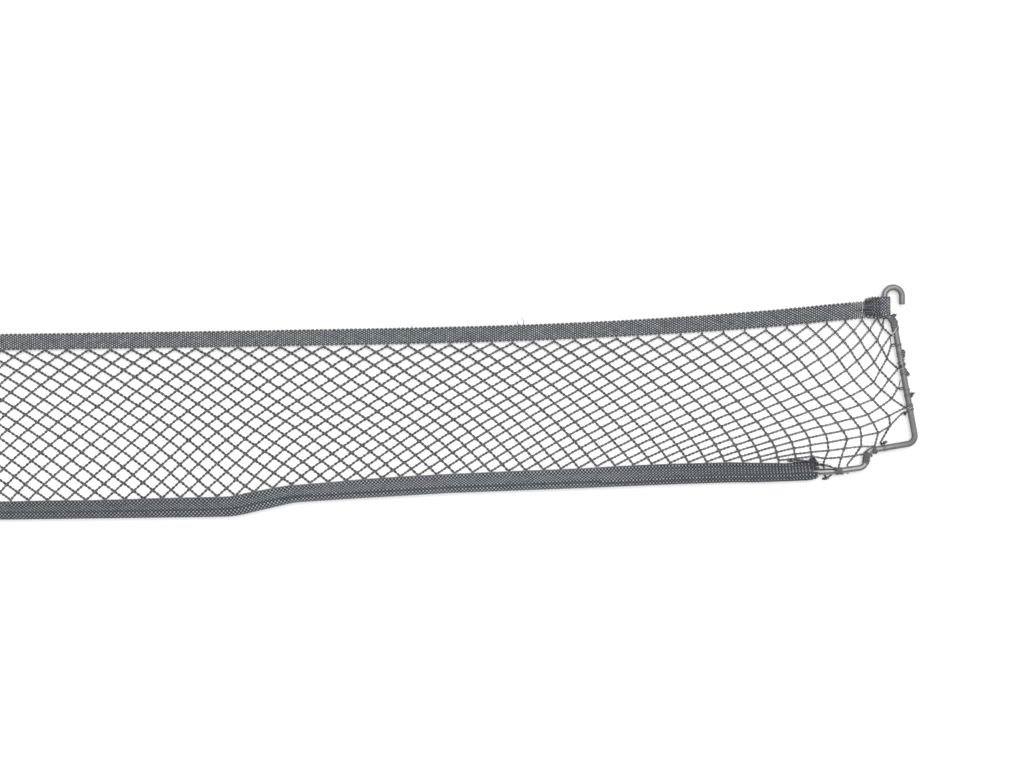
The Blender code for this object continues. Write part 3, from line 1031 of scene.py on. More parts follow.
@dataclass
class Sleeve:
    """The lower edge tape, folded lengthwise round the rail."""

    wire: WireFrame
    reach: float = 8.6              # from the rail to its open edge
    half_length: float = 390.0
    fold: Fold = Fold(3.5, 2.9, 4.8, 0.6, 2.1)
    ground: float = 0.3             # thickness of the cloth under the braid
    ground_margin: float = 0.6      # from the sleeve's ends and edges to that cloth's
    ground_stations: int = 240
    ground_columns: int = 49
    yarn: Section = Section(1.1, 0.56, 4)
    rib_width: float = 1.12         # nearly, as a whole number of them goes round it
    pitches: Table = ((0.0, 2.05), (180.0, 2.25))
    middle_pitch: float = 2.47
    puckered: float = 130.0         # from its ends, where it draws up into ridges
    # place along the strip, and how far the sleeve's lower and upper edges are shifted there
    lie: tuple[Triple, ...] = (
        (-140.0, -0.65, -0.9), (-85.0, -0.65, -1.0), (-10.0, -0.65, 0.2), (20.0, -0.4, 0.9),
        (55.0, -0.4, -1.2), (90.0, -0.3, -0.3), (170.0, -0.6, -0.1), (240.0, -0.5, 0.4),
        (300.0, -0.2, 1.0), (335.0, -0.3, 0.5), (364.0, -1.1, -1.2), (373.0, -1.3, -1.8),
        (380.0, -1.4, -1.3), (390.0, -1.8, -1.6))
    ridge_spacing: float = 2.26
    ridge_height: float = 0.3
    valley_shade: float = 0.3        # painted shade: the yarns' lightness between two ridges
    gathered: float = 0.34          # share by which it draws in at the very end
    gathers_over: float = 7.0
    end_bulge: float = 1.8          # of its end, in its middle
    edge_wave: float = 0.35
    edge_waves: Pair = (17.0, 41.0)  # lengths in which they turn a radian
    # place along the strip, and length round the section from its lower edge to the stitches
    stitch_line: Table = (
        (-69.0, 4.95), (236.0, 3.85), (276.0, 2.5))
    stitch_width: float = 0.6
    stitch_tone: float = 0.4
    # place along the strip, and how light the yarns are there
    lightness: Table = (
        (-300.0, 0.8), (-100.0, 0.72), (20.0, 1.0), (150.0, 1.12), (280.0, 1.04),
        (340.0, 0.9))

    def __post_init__(self) -> None:
        """Find the rail's stretch inside the sleeve and the sleeve's section."""
        line = self.wire.line
        right, left = (line.nearest(np.array((
            end.value * self.half_length, self.wire.side[-1].up - self.wire.drop(end))))
            for end in End)
        lengths = np.concatenate((
            [left], line.lengths[(line.lengths > right) & (line.lengths < left)][::-1], [right]))
        self.rail = PlaneLine(line.at(lengths)[0])
        self.section = PlaneLine(self.fold.profile(self.reach))

    def place(self, along: Array, across: Array, lift: Array) -> tuple[Array, Array]:
        """Place points of the sleeve.

        Args:
            along: lengths along the rail from the sleeve's left end.
            across: distances round the section from its middle.
            lift: heights over the cloth, outwards.

        Returns:
            The points and the cloth's facing there.
        """
        centre, ahead = self.rail.at(along)
        section, forward = self.section.at(across + self.section.length / 2)
        facing = turned_left(forward)
        from_end = np.minimum(along, self.rail.length - along)
        pucker = 1 - smooth_step(from_end / self.puckered)
        ridges = self.ridge(across) * self.ridge_height * pucker
        section = section + facing * (lift + ridges)[..., None]
        gather = self.gathered * np.maximum(1 - from_end / self.gathers_over, 0.0) ** 2
        short, long = self.edge_waves
        wave = self.edge_wave * np.sin(along / short) * np.cos(along / long)
        beyond = np.maximum(section[..., 0] - self.fold.radius, 0.0) / self.reach
        places, lower, upper = zip(*self.lie)
        low, high = (np.interp(centre[..., 0], places, shift) for shift in (lower, upper))
        share = (section[..., 0] + self.fold.radius) / (self.reach + self.fold.radius)
        shift = low + (high - low) * np.clip(share, 0.0, 1.0)
        section = section - np.stack(
            (section[..., 0] * gather + beyond * wave - shift, np.zeros_like(gather)), axis=-1)
        up = turned_left(ahead)
        bulge = self.end_bulge * (1 - (2 * share - 1) ** 2) * np.maximum(
            1 - from_end / self.gathers_over, 0.0) * np.sign(along - self.rail.length / 2)
        centre = centre + ahead * bulge[..., None]
        place = np.concatenate((centre + up * section[..., :1], section[..., 1:]), axis=-1)
        normal = np.concatenate((up * facing[..., :1], facing[..., 1:]), axis=-1)
        return place, normal

    def ridge(self, across: Array) -> Array:
        """Return 1 on the ridges of the puckered cloth and -1 between them."""
        return np.cos(2 * math.pi * (across / self.ridge_spacing + 0.25))

    def look(self, points: Array, across: Array) -> tuple[Array, Array]:
        """Tell how the yarns look: painted shade between the ridges, and dark along the line of
        stitches.

        Args:
            points: points of yarns.
            across: their distances round the section from its middle.

        Returns:
            How full and how light they are.
        """
        far = np.abs(points[:, 0])
        pucker = np.clip((far - self.half_length + self.puckered) / self.puckered, 0, 1) ** 0.5
        # painted shade in the hollows between the ridges near the sleeve's ends
        valley_shade_mask = 0.5 - 0.5 * self.ridge(across)
        tone = read_table(self.lightness, points[:, 0]) * (
            1 - (1 - self.valley_shade) * valley_shade_mask * pucker)
        stitched = read_table(self.stitch_line, points[:, 0])
        return np.ones(len(points)), np.where(
            np.abs(across - stitched) < self.stitch_width, self.stitch_tone, tone)

    def edge_level(self, across: float) -> float:
        """Return the level of the sleeve's open edge at a place along the strip."""
        edge = self.rail.points + turned_left(self.rail.directions) * self.reach
        return float(np.interp(across, edge[:, 0], edge[:, 1]))

    def build(self, loom: Loom) -> list[Piece]:
        """Weave the sleeve.

        Args:
            loom: the trees and the materials.

        Returns:
            The ground cloth and both halves of the braid on it.
        """
        length, round_it = self.rail.length, self.section.length
        ground = sheet_of_cloth(
            "bottom_tape_ground", self,
            np.linspace(self.ground_margin, length - self.ground_margin, self.ground_stations),
            np.linspace(-0.5, 0.5, self.ground_columns) * (round_it - 2 * self.ground_margin),
            self.ground, loom.palette.ground)
        finish_piece(ground, Slot.TAPE, "bottom_tape")
        ribs = round(round_it / self.rib_width)
        braid = Braid(ribs, round_it / ribs, self.pitches, self.middle_pitch)
        routes = braid_routes(braid, self, length)
        pieces = [ground]
        for end in End:
            cover = loom.weave(f"bottom_tape_braid_{end.name.lower()}", half_of(routes, end),
                               self.yarn, loom.palette.sleeve_yarn)
            pieces.append(finish_piece(cover, Slot.TAPE, "bottom_tape"))
        return pieces


def cut_route(route: Route, end: End) -> list[Route]:
    """Keep the stretches of a line that lie in one half of the strip.

    Args:
        route: the line.
        end: the half to keep.

    Returns:
        The stretches, each carried on to the first point past the middle.
    """
    kept = end.value * route.points[:, 0] > 0
    kept = kept | np.roll(kept, 1) if end is End.LEFT else kept
    stretches = np.split(np.arange(len(kept)), np.flatnonzero(np.diff(kept)) + 1)
    return [Route(route.points[part], route.facing[part],
                  {label: values[part] for label, values in route.values.items()})
            for part in stretches if kept[part[0]] and len(part) > 1]


def half_of(routes: Sequence[Route], end: End) -> list[Route]:
    """Return the stretches of some lines that lie in one half of the strip."""
    return [part for route in routes for part in cut_route(route, end)]


EDGE_TURN_LIGHTING = 0.75                           # painted light: how lit the yarns are where they turn back at the edges
YARN_TONES = (0.72, 1.0)                        # from the darkest yarn to the lightest


def braid_routes(braid: Braid, cloth: Cloth, length: float) -> list[Route]:
    """Lay a braid's yarns on a cloth.

    Args:
        braid: the braid.
        cloth: the cloth.
        length: the cloth's length.

    Returns:
        The lines of the yarns.
    """
    chance = random.Random(braid.ribs)
    routes = []
    for along, across, height in braid.yarns(length):
        points, facing = cloth.place(along, across, height)
        fullness, tone = cloth.look(points, across)
        turns = np.abs(across) > (braid.ribs - 0.5) / 2 * braid.rib_width
        # painted shade and light: yarns lit where they cross over and shaded where they dip
        # under, times the cloth's tone and a random tone for each yarn
        lift = np.where(turns, EDGE_TURN_LIGHTING, np.abs(height) / braid.lift)
        lift = lift * tone * chance.uniform(*YARN_TONES)
        routes.append(Route(points, facing, {"fullness": fullness, "lift": lift}))
    return routes


def sheet_of_cloth(name: str, cloth: Cloth, stations: Array, offsets: Array,
                   thickness: float, material: Material) -> Piece:
    """Make a thin closed cloth.

    Args:
        name: the piece's name.
        cloth: the tape that it is part of.
        stations: lengths along it.
        offsets: distances across it, the same at each station or a row for each.
        thickness: its thickness.
        material: its finish.

    Returns:
        The piece.
    """
    across = np.broadcast_to(offsets, (len(stations), offsets.shape[-1]))
    along = np.broadcast_to(stations[:, None], across.shape)
    layers = [cloth.place(along.ravel(), across.ravel(),
                          np.full(along.size, side * thickness / 2))[0] for side in (1, -1)]
    index = np.arange(along.size).reshape(along.shape)
    corners = np.stack((index[:-1, :-1], index[1:, :-1], index[1:, 1:], index[:-1, 1:]), axis=-1)
    faces = [*corners.reshape(-1, 4)[:, ::-1].tolist(),
             *(corners.reshape(-1, 4) + index.size).tolist()]
    rim = np.concatenate((index[0, :-1], index[:-1, -1], index[-1, :0:-1], index[:0:-1, 0]))
    for one, two in zip(rim, np.roll(rim, -1)):
        faces.append([int(one), int(two), int(two + index.size), int(one + index.size)])
    mesh = bpy.data.meshes.new(name)
    mesh.from_pydata((np.concatenate(layers) * MM).tolist(), [], faces)
    mesh.materials.append(material)
    mesh.shade_smooth()
    mesh.update()
    piece = bpy.data.objects.new(name, mesh)
    bpy.context.collection.objects.link(piece)
    return piece


# ---- Netting ----------------------------------------------------------------------------


@dataclass(frozen=True)
class Tie:
    """A mesh that is tied to the frame."""

    column: float
    row: int
    across: float
    up: float


TIES = (
    Tie(33.0, 0, 434.0, 53.4),
    Tie(33.0, 2, 438.9, 43.1),
    Tie(33.5, 3, 439.1, 37.1),
    Tie(33.5, 5, 443.5, 21.4),
    Tie(33.5, 7, 443.3, 8.5),
    Tie(33.5, 9, 448.4, -4.0),
    Tie(34.0, 10, 446.9, -7.1),
    Tie(34.0, 12, 432.2, -26.6),
    Tie(33.5, 13, 428.4, -29.2),
    Tie(34.0, 14, 421.5, -34.4),
    Tie(34.0, 16, 410.5, -41.2),
    Tie(33.5, 17, 405.0, -42.5),
    Tie(33.0, 18, 394.9, -41.2),
    Tie(32.0, 18, 387.6, -35.6),
)


@dataclass(frozen=True)
class Pull:
    """A place near the right end where the netting is drawn out of its even lay."""

    column: float
    row: float
    across: float
    up: float
    columns: float                  # reach of the pull
    rows: float


PULLS = (
    Pull(32.0, 4.0, -4.0, 0.0, 1.2, 3.0),
    Pull(30.0, 6.5, -1.0, -1.8, 1.6, 2.5),
    Pull(33.2, 11.8, 3.3, 0.0, 0.6, 2.8),
    Pull(31.9, 16.4, -3.6, -2.5, 0.9, 1.9),
    Pull(32.4, 1.8, 1.1, 0.8, 0.5, 1.6),
    Pull(30.8, 18.6, -1.0, -0.6, 0.7, 1.2),
)


@dataclass(frozen=True)
class Drift:
    """How far the netting lies from its even lay, as soft humps at places of a grid."""

    columns: tuple[int, ...] = (-10, -5, 0, 5, 10, 15, 20, 25, 30)
    rows: tuple[int, ...] = (1, 7, 13, 19)
    column_reach: float = 5.0
    row_reach: float = 6.0
    across: tuple[tuple[float, ...], ...] = (
        (-1.2, 0.8, -0.1, 0.5, 0.0, -1.2, -1.9, -1.2, 1.3),
        (-0.5, 0.7, 0.2, 0.0, 0.6, 1.0, -0.7, 0.5, -1.4),
        (-1.6, 2.2, -0.9, -0.1, 1.7, 0.0, 0.4, 0.1, 2.4),
        (-4.2, 0.6, -0.3, 1.9, 0.0, 1.5, -1.1, 0.5, -0.4))
    up: tuple[tuple[float, ...], ...] = (
        (0.9, -0.3, 0.4, 0.5, -0.5, -0.2, -0.2, -1.3, 0.2),
        (0.1, -0.6, 0.6, -2.0, 0.0, -0.9, 0.4, -0.2, -0.6),
        (0.4, -0.1, 2.5, -1.1, 0.1, 0.6, 0.0, 0.1, 0.2),
        (-0.5, -1.1, 0.2, -0.7, 0.1, -0.2, -0.2, 1.5, -0.4))

    def at(self, column: float, row: float) -> Array:
        """Return how far one crossing is shifted, across and up."""
        columns = np.exp(-((column - np.array(self.columns)) / self.column_reach) ** 2)
        rows = np.exp(-((row - np.array(self.rows)) / self.row_reach) ** 2)
        return np.array([rows @ np.array(grid) @ columns for grid in (self.across, self.up)])


@dataclass
class Netting:
    """Knotless diamond netting of twisted twine, hung between the two tapes."""

    wire: WireFrame
    top: TopTape
    sleeve: Sleeve
    rows: int = 20
    last_column: int = 33
    last_lower_column: int = 31
    sleeve_rows: int = 3
    upper_pitch: float = 13.86
    lower_pitch: float = 11.8
    upper_squeeze: float = 19.9
    squeeze_halves_in: float = 2.0
    row_spread: float = 1.055
    end_bow: float = 20.8
    end_sag: float = 0.143
    pull_column: float = 30.5
    pull_halves_in: float = 3.0
    relaxed_from: float = 32.0
    relax_rounds: int = 120
    raised_rows: float = 7.0
    rest_height: float = 0.82
    family_fullness: Pair = (0.94, 1.1)  # of families 1 and -1
    drift: Drift = Drift()
    edge_margin: float = 0.7
    half_turn: float = 2.5          # length in which the plies change sides
    ply: Section = Section(0.74, 0.66, 3)
    ply_parting: float = 0.46
    crossing_parting: float = 0.52
    crossing_length: float = 0.9
    crossing_lift: float = 0.14     # one family passes over the other by twice this
    # distance from the strip's middle, and the twine's share of its usual thickness there
    stoutness: Table = (
        (0.0, 1.24), (150.0, 1.18), (300.0, 1.1), (360.0, 1.06), (420.0, 0.93))
    unevenness: Pair = (0.86, 1.14)  # least and greatest share of that
    bow: float = 0.2                # how far a strand may bow out between two crossings
    half_turn_points: int = 3
    groove_shade: float = 0.3  # painted shade where the plies lie side by side: the twine's least lightness, out of 1
    # meshes past the last column: column, row, and the column in whose place they start
    odd_meshes: tuple[tuple[float, int, float], ...] = (
        (33.5, 11, 33.0), (33.5, 15, 33.0), (32.0, 20, 32.0))
    tape_tail: float = 2.6          # how far the strands run on into the tapes
    fold_sink: float = 0.5          # how far under the top tape's lower layer they end
    wire_grip: Pair = (0.42, 0.34)  # how far out and up they end on it, of its thickness
    sleeve_middle: float = 1.35
    seed: int = 7

    def hanging_place(self, column: float, row: float) -> Array:
        """Return where a mesh lies between the tapes, drawn out near the frame's ends."""
        side, far = math.copysign(1.0, column), abs(column)
        drop = row / self.rows
        arch = 4 * drop * (1 - drop)
        pull = 2 ** ((far - self.pull_column) / self.pull_halves_in)
        squeeze = self.upper_squeeze * 2 ** (
            (far - self.last_column) / self.squeeze_halves_in)
        share = min(drop ** self.row_spread + self.end_sag * pull * arch, 1.0)
        upper, lower = self.upper_pitch * far - squeeze, self.lower_pitch * far
        across = side * (upper + (lower - upper) * share + self.end_bow * pull * arch)
        top = float(self.top.tape_level(np.array(across))) - self.top.width / 2
        top -= self.edge_margin
        bottom = self.sleeve.edge_level(across) + self.edge_margin
        return np.array((across, top + (bottom - top) * share))

    def ties(self) -> dict[Node, Array]:
        """Return the places of the tied meshes at both ends."""
        places = {}
        for end in End:
            for tie in TIES:
                places[(end.value * tie.column, tie.row)] = np.array(
                    (end.value * tie.across, tie.up - self.wire.drop(end)))
        return places

    def crossings(self, ties: dict[Node, Array]) -> dict[Node, Array]:
        """Place every crossing of the netting.

        Args:
            ties: the tied meshes.

        Returns:
            The places by column and row.
        """
        places = {}
        for row in range(self.rows + 1):
            last = (self.last_column if row <= self.rows - self.sleeve_rows
                    else self.last_lower_column)
            for half_column in range(-2 * last, 2 * last + 1):
                if (half_column - row) % 2 == 0:
                    places[(half_column / 2, row)] = self.hanging_place(half_column / 2, row)
        for end in End:
            for column, row, starts_from in self.odd_meshes:
                places[(end.value * column, row)] = self.hanging_place(
                    end.value * starts_from, row)
        places.update(ties)
        loose = [node for node in places if abs(node[0]) > self.relaxed_from
                 and node not in ties and 0 < node[1] < self.rows]
        for _ in range(self.relax_rounds):
            for column, row in loose:
                near = [places[other] for side in (-0.5, 0.5) for step in (-1, 1)
                        if (other := (column + side, row + step)) in places]
                places[(column, row)] = sum(near) / len(near)
        for column, row in sorted(places.keys() - ties.keys()):
            side = math.copysign(1.0, column)
            place = places[(column, row)] + self.drift.at(column, row)
            for pull in PULLS:
                share = math.exp(-((abs(column) - pull.column) / pull.columns) ** 2
                                 - ((row - pull.row) / pull.rows) ** 2)
                place = place + share * np.array((side * pull.across, pull.up))
            places[(column, row)] = place
        return places

    def strands(self, places: dict[Node, Array],
                ties: dict[Node, Array]) -> list[tuple[int, list[Node]]]:
        """Follow every strand of both families.

        Args:
            places: the crossings.
            ties: those that are tied.

        Returns:
            Each strand's family and its crossings.  Family 1 keeps the sum of column and
            half row, and leans to the left as it drops; family -1 keeps their difference.
        """
        strands = []
        reach = self.last_column + self.rows
        for lean in (1, -1):
            for index in range(-reach, reach + 1):
                line = [(index - lean * row / 2, row) for row in range(self.rows + 1)]
                line = [node for node in line if node in places]
                inner = [i for i, node in enumerate(line) if node not in ties]
                if inner:
                    strands.append((lean, line[max(inner[0] - 1, 0):inner[-1] + 2]))
        return strands

    def height(self, row: Array) -> Array:
        """Return how high the twine's middle lies at each row."""
        above = np.maximum(1.0 - row / self.raised_rows, 0.0) ** 2
        below = np.maximum(row - self.rows + 2.0, 0.0) ** 2 / 4
        return (self.rest_height + (self.top.fold.lower - self.rest_height) * above
                + (self.sleeve_middle - self.rest_height) * below)

    def ply_shading(self, turns: Array) -> Array:
        """Return the twine's painted shade: darkest where the plies lie side by side, lightest
        where one ply covers the other.
        """
        return self.groove_shade + (1 - self.groove_shade) * np.sin(turns) ** 2

    def tail(self, node: Node, places: dict[Node, Array],
             wire_ties: dict[Node, Array]) -> Array:
        """Return the point to which a strand runs on past its last crossing.

        Args:
            node: the last crossing.
            places: the crossings.
            wire_ties: the tied ones.

        Returns:
            A point inside a tape, or on top of the wire.
        """
        place = places[node]
        if node in wire_ties:
            length = self.wire.line.nearest(place)
            centre = self.wire.line.at(np.array([length]))[0][0]
            out, up = (self.wire.diameter * share for share in self.wire_grip)
            return np.array((*(centre + unit(place - centre) * out), self.wire.height + up))
        if node[1] == 0:
            return np.array((place[0], place[1] + self.tape_tail,
                             self.top.fold.lower - self.fold_sink))
        return np.array((place[0], place[1] - self.tape_tail, self.sleeve_middle))

    def strand_route(self, strand: list[Node], places: dict[Node, Array],
                     wire_ties: dict[Node, Array], lean: int,
                     chance: random.Random) -> Route:
        """Lay one strand.

        Args:
            strand: its crossings.
            places: where they are.
            wire_ties: those tied to the wire.
            lean: its family, which passes over the other where it is 1.
            chance: the source of small unevenness.

        Returns:
            The line, with its plies' turn and parting.
        """
        rows = []                       # of place, turn and parting
        turn = chance.uniform(0.0, math.pi)
        for one, two in zip(strand, strand[1:]):
            start, end = places[one], places[two]
            length = float(np.linalg.norm(end - start))
            half_turns = max(2, round(length / self.half_turn))
            shares = np.linspace(0.0, 1.0, self.half_turn_points * half_turns + 1)[:-1]
            bow = chance.uniform(-self.bow, self.bow) * np.sin(math.pi * shares)
            side = turned_left(unit(end - start))
            line = start + np.outer(shares, end - start) + np.outer(bow, side)
            near = np.exp(-(np.minimum(shares, 1 - shares) * length
                            / self.crossing_length) ** 2)
            level = self.height(one[1] + (two[1] - one[1]) * shares)
            rows.append(np.column_stack((
                line, level + lean * self.crossing_lift * near,
                turn + math.pi * half_turns * shares,
                self.ply_parting + (self.crossing_parting - self.ply_parting) * near)))
            turn += math.pi * half_turns
        last = np.array((*places[strand[-1]], self.height(np.array(strand[-1][1])), turn,
                         self.ply_parting))
        rows.append(last[None])
        for node, step in ((strand[0], -1), (strand[-1], 1)):
            if node[1] in (0, self.rows) or node in wire_ties:
                turn = (rows[0][0] if step < 0 else last)[3] + step * math.pi / 2
                rows.insert(0 if step < 0 else len(rows), np.array(
                    [(*self.tail(node, places, wire_ties), turn, self.ply_parting)]))
        points, turns, partings = np.split(np.concatenate(rows), (3, 4), axis=1)
        full = self.family_fullness[lean < 0]
        uneven = read_table(self.stoutness, np.abs(points[:, 0])) * np.array(
            [full * chance.uniform(*self.unevenness) for _ in points])
        # the lift attribute carries the painted shade of the twist
        return Route(points, flat_facing(len(points)), {
            "fullness": uneven, "lift": self.ply_shading(turns[:, 0]),
            "turn": turns[:, 0], "parting": partings[:, 0] * MM})

    def build(self, loom: Loom) -> list[Piece]:
        """Knit the netting.

        Args:
            loom: the trees and the materials.

        Returns:
            Its two halves.
        """
        chance = random.Random(self.seed)
        ties = self.ties()
        places = self.crossings(ties)
        routes = [self.strand_route(strand, places, ties, lean, chance)
                  for lean, strand in self.strands(places, ties)]
        pieces = []
        for end in End:
            piece = loom.weave(f"net_{end.name.lower()}", half_of(routes, end), self.ply,
                               loom.palette.twine, loom.twine)
            pieces.append(finish_piece(piece, Slot.NET, "net"))
        return pieces


# ---- Thread work ------------------------------------------------------------------------


@dataclass(frozen=True)
class Lashing:
    """A lashing of the right end; the left end mirrors it."""

    name: str                       # as the CAD node has it after its side
    across: float
    up: float
    length: float                   # along the wire
    turns: float                    # of thread round the wire
    crossing: float = 0.0           # looser turns over those


LASHINGS = (
    Lashing("tape_end", 440.6, 50.6, 10.0, 17.0, 2.2),
    Lashing("upper_loop", 442.5, 36.6, 1.2, 1.5),
    Lashing("upper_tuft", 443.3, 31.0, 3.4, 2.0),
    Lashing("side_wrap", 444.9, 24.6, 5.6, 3.0, 1.6),
    Lashing("side_tuft", 446.0, 18.4, 3.0, 2.0),
    Lashing("middle_loop", 447.9, 7.6, 1.2, 1.5),
    Lashing("lower_tuft", 448.8, 3.6, 2.4, 2.0),
    Lashing("side_tie", 450.2, -3.8, 4.6, 6.0, 1.6),
    Lashing("corner_knot", 434.2, -29.4, 2.4, 2.0),
    Lashing("step_wrap", 427.6, -31.2, 3.0, 4.5, 1.4),
    Lashing("step_tie", 422.0, -36.6, 7.4, 12.0, 2.4),
    Lashing("rail_tie", 404.4, -44.9, 5.4, 8.0, 1.7),
)


@dataclass(frozen=True)
class Bunch:
    """Thread ends and knots that stand out at a lashing of the right end."""

    name: str                       # the lashing it belongs to
    across: float                   # its middle
    up: float
    height: float
    length: float                   # along its threads
    width: float
    turn: float                     # its threads' direction, in degrees from across
    threads: int
    lightness: float = 0.8


BUNCHES = (
    Bunch("tape_end", 440.0, 56.0, 5.2, 2.6, 2.6, 60.0, 9, 0.3),
    Bunch("tape_end", 441.3, 56.0, 4.6, 2.4, 1.6, 40.0, 6, 0.6),
    Bunch("upper_tuft", 446.9, 31.2, 3.6, 7.0, 2.5, 94.0, 20, 0.6),
    Bunch("upper_tuft", 445.6, 32.8, 3.2, 3.0, 1.2, 100.0, 7, 0.02),
    Bunch("side_wrap", 444.8, 22.9, 5.4, 1.8, 1.8, 30.0, 6, 0.1),
    Bunch("side_tuft", 448.0, 19.8, 3.8, 4.4, 3.0, 120.0, 16, 0.6),
    Bunch("side_tuft", 449.4, 17.9, 3.4, 3.6, 2.8, 40.0, 14, 0.6),
    Bunch("side_tuft", 448.2, 16.6, 3.4, 2.4, 2.0, 60.0, 8, 0.5),
    Bunch("lower_tuft", 451.8, 4.4, 3.6, 3.8, 2.6, 100.0, 14, 0.35),
    Bunch("lower_tuft", 453.0, 5.4, 3.6, 3.4, 1.2, 10.0, 7, 0.5),
    Bunch("lower_tuft", 451.4, 2.2, 3.6, 3.0, 1.4, 100.0, 6, 0.5),
    Bunch("side_tie", 448.0, -7.6, 2.4, 2.8, 2.0, 70.0, 10, 0.1),
    Bunch("corner_knot", 434.4, -26.6, 4.6, 4.0, 2.0, 24.0, 14, 0.3),
    Bunch("corner_knot", 432.6, -27.4, 4.0, 2.0, 1.2, 110.0, 5, 0.1),
    Bunch("step_wrap", 430.9, -31.6, 2.6, 1.8, 1.4, 20.0, 6, 0.3),
    Bunch("step_wrap", 428.0, -33.2, 3.6, 2.2, 1.6, 130.0, 6, 0.2),
    Bunch("step_wrap", 426.0, -35.0, 2.8, 2.6, 1.6, 100.0, 8, 0.5),
    Bunch("rail_tie", 407.5, -46.5, 2.8, 1.8, 1.3, 80.0, 6, 0.6),
    Bunch("rail_tie", 410.4, -46.2, 2.8, 1.8, 1.3, 80.0, 6, 0.6),
    Bunch("rail_tie", 395.9, -50.0, 1.6, 3.8, 1.8, 8.0, 12, 0.3),
    Bunch("rail_tie", 396.0, -47.8, 2.0, 3.0, 1.2, 122.0, 7, 0.2),
)


# loose threads of the right end, by the corners of their ways: across, up and height
PALE_STRANDS = (
    ((442.4, 48.4, 6.2), (441.0, 45.9, 6.6), (439.4, 43.4, 5.4)),
    ((441.6, 47.6, 6.5), (440.2, 45.0, 6.4), (438.6, 43.4, 5.0)),
    ((438.2, 46.0, 4.6), (439.4, 43.9, 5.8), (440.4, 42.6, 6.0)),
    ((443.9, 26.6, 6.3), (444.9, 26.2, 6.5), (445.3, 25.2, 6.4)),
    ((444.3, 24.9, 6.4), (445.3, 24.4, 6.5), (445.7, 25.0, 6.3)),
    ((443.8, 20.8, 5.8), (445.2, 21.4, 6.6), (446.9, 21.9, 5.6)),
    ((449.9, -5.2, 6.5), (450.9, -4.3, 6.7), (452.2, -3.4, 5.6)),
    ((448.9, -4.4, 6.3), (449.8, -3.7, 6.6), (450.6, -3.2, 6.4)),
    ((420.4, 63.1, 4.3), (420.2, 60.6, 4.7), (419.6, 58.2, 4.3)),
    ((425.0, -31.5, 5.6), (426.6, -30.4, 5.9)),
    ((402.0, -46.6, 3.4), (400.0, -48.4, 2.2), (398.4, -49.8, 1.6)),
)

DARK_STRANDS = (
    # the loops beside the slanted side
    ((437.9, 42.4, 3.2), (438.5, 39.4, 3.2), (439.0, 36.4, 3.2), (440.9, 35.7, 3.6)),
    ((444.7, 14.2, 3.6), (443.8, 9.4, 3.2), (444.1, 7.8, 3.2), (446.3, 7.8, 3.6)),
    # along the fold's lower corner
    ((431.3, 54.3, 3.4), (434.0, 53.9, 3.6), (437.4, 54.2, 4.2), (439.6, 55.4, 5.0)),
    # from the sleeve's end to the lashing on the rail
    ((389.0, -40.4, 2.6), (393.9, -40.9, 3.2), (398.2, -41.5, 3.6), (402.4, -43.8, 5.6)),
    ((388.5, -43.4, 3.6), (394.0, -43.9, 4.6), (399.8, -43.8, 5.4), (403.0, -44.6, 6.0)),
    ((391.0, -41.4, 3.0), (395.0, -41.6, 3.0), (400.4, -42.8, 4.2)),
    # the tail under the rail
    ((402.0, -45.9, 4.0), (399.2, -48.4, 1.8), (396.8, -49.8, 1.2), (394.2, -50.4, 0.9)),
    ((401.0, -46.6, 3.6), (398.0, -49.0, 1.4), (396.6, -50.6, 0.9)),
    ((394.6, -46.8, 3.0), (396.0, -48.6, 1.6), (397.2, -49.6, 1.0)),
    # torn threads on the sleeve's upper edge
    ((386.6, -37.4, 3.0), (388.4, -36.2, 3.4), (390.2, -38.4, 3.4), (391.6, -41.0, 3.2)),
    ((388.2, -36.4, 2.6), (389.4, -38.2, 3.2), (391.4, -42.4, 3.2), (392.4, -44.4, 3.0)),
    ((371.8, -38.6, 2.8), (377.0, -38.0, 3.2), (382.0, -38.8, 3.4), (388.0, -38.2, 3.0)),
)

# torn threads at the sleeve's upper corner
TORN_THREADS = (
    Bunch("sleeve_end", 387.6, -38.0, 4.2, 4.6, 2.4, 150.0, 9, 0.15),
    Bunch("sleeve_end", 389.8, -40.4, 4.0, 4.4, 1.8, 112.0, 7, 0.1),
    Bunch("sleeve_end", 380.5, -38.6, 4.0, 5.4, 1.4, 4.0, 5, 0.3),
    Bunch("sleeve_end", 374.0, -39.0, 3.8, 4.6, 1.2, -8.0, 4, 0.3),
)


@dataclass(frozen=True)
class Fraying:
    """Fibres that stick out of a box at the right end."""

    count: int
    low: Triple             # the box's corners: across, up, height
    high: Triple
    toward: Triple
    length: float


FRAYINGS = (
    Fraying(40, (371.0, -40.5, 2.4), (391.0, -38.4, 3.4), (0.6, 0.5, 0.1), 3.6),
    Fraying(20, (388.0, -47.0, 2.5), (391.0, -40.5, 5.0), (1.0, -0.1, 0.1), 1.8),
    Fraying(22, (395.0, -50.2, 0.6), (399.0, -48.6, 2.0), (-0.6, -0.6, 0.0), 1.6),
    Fraying(16, (392.0, -42.6, 2.8), (400.0, -41.4, 4.2), (1.0, 0.2, 0.2), 2.6),
)

# pale hairs that stand on the top tape, by the corners of their ways
HAIRS = (
    ((196.9, 49.6, 4.6), (195.9, 51.4, 4.8), (195.6, 53.0, 4.2)),
    ((199.8, 49.4, 4.6), (199.9, 51.8, 5.0), (199.2, 54.0, 4.6), (197.9, 55.2, 4.0)),
    ((127.2, 47.8, 4.6), (127.6, 49.2, 4.6), (126.8, 50.0, 4.2)),
)


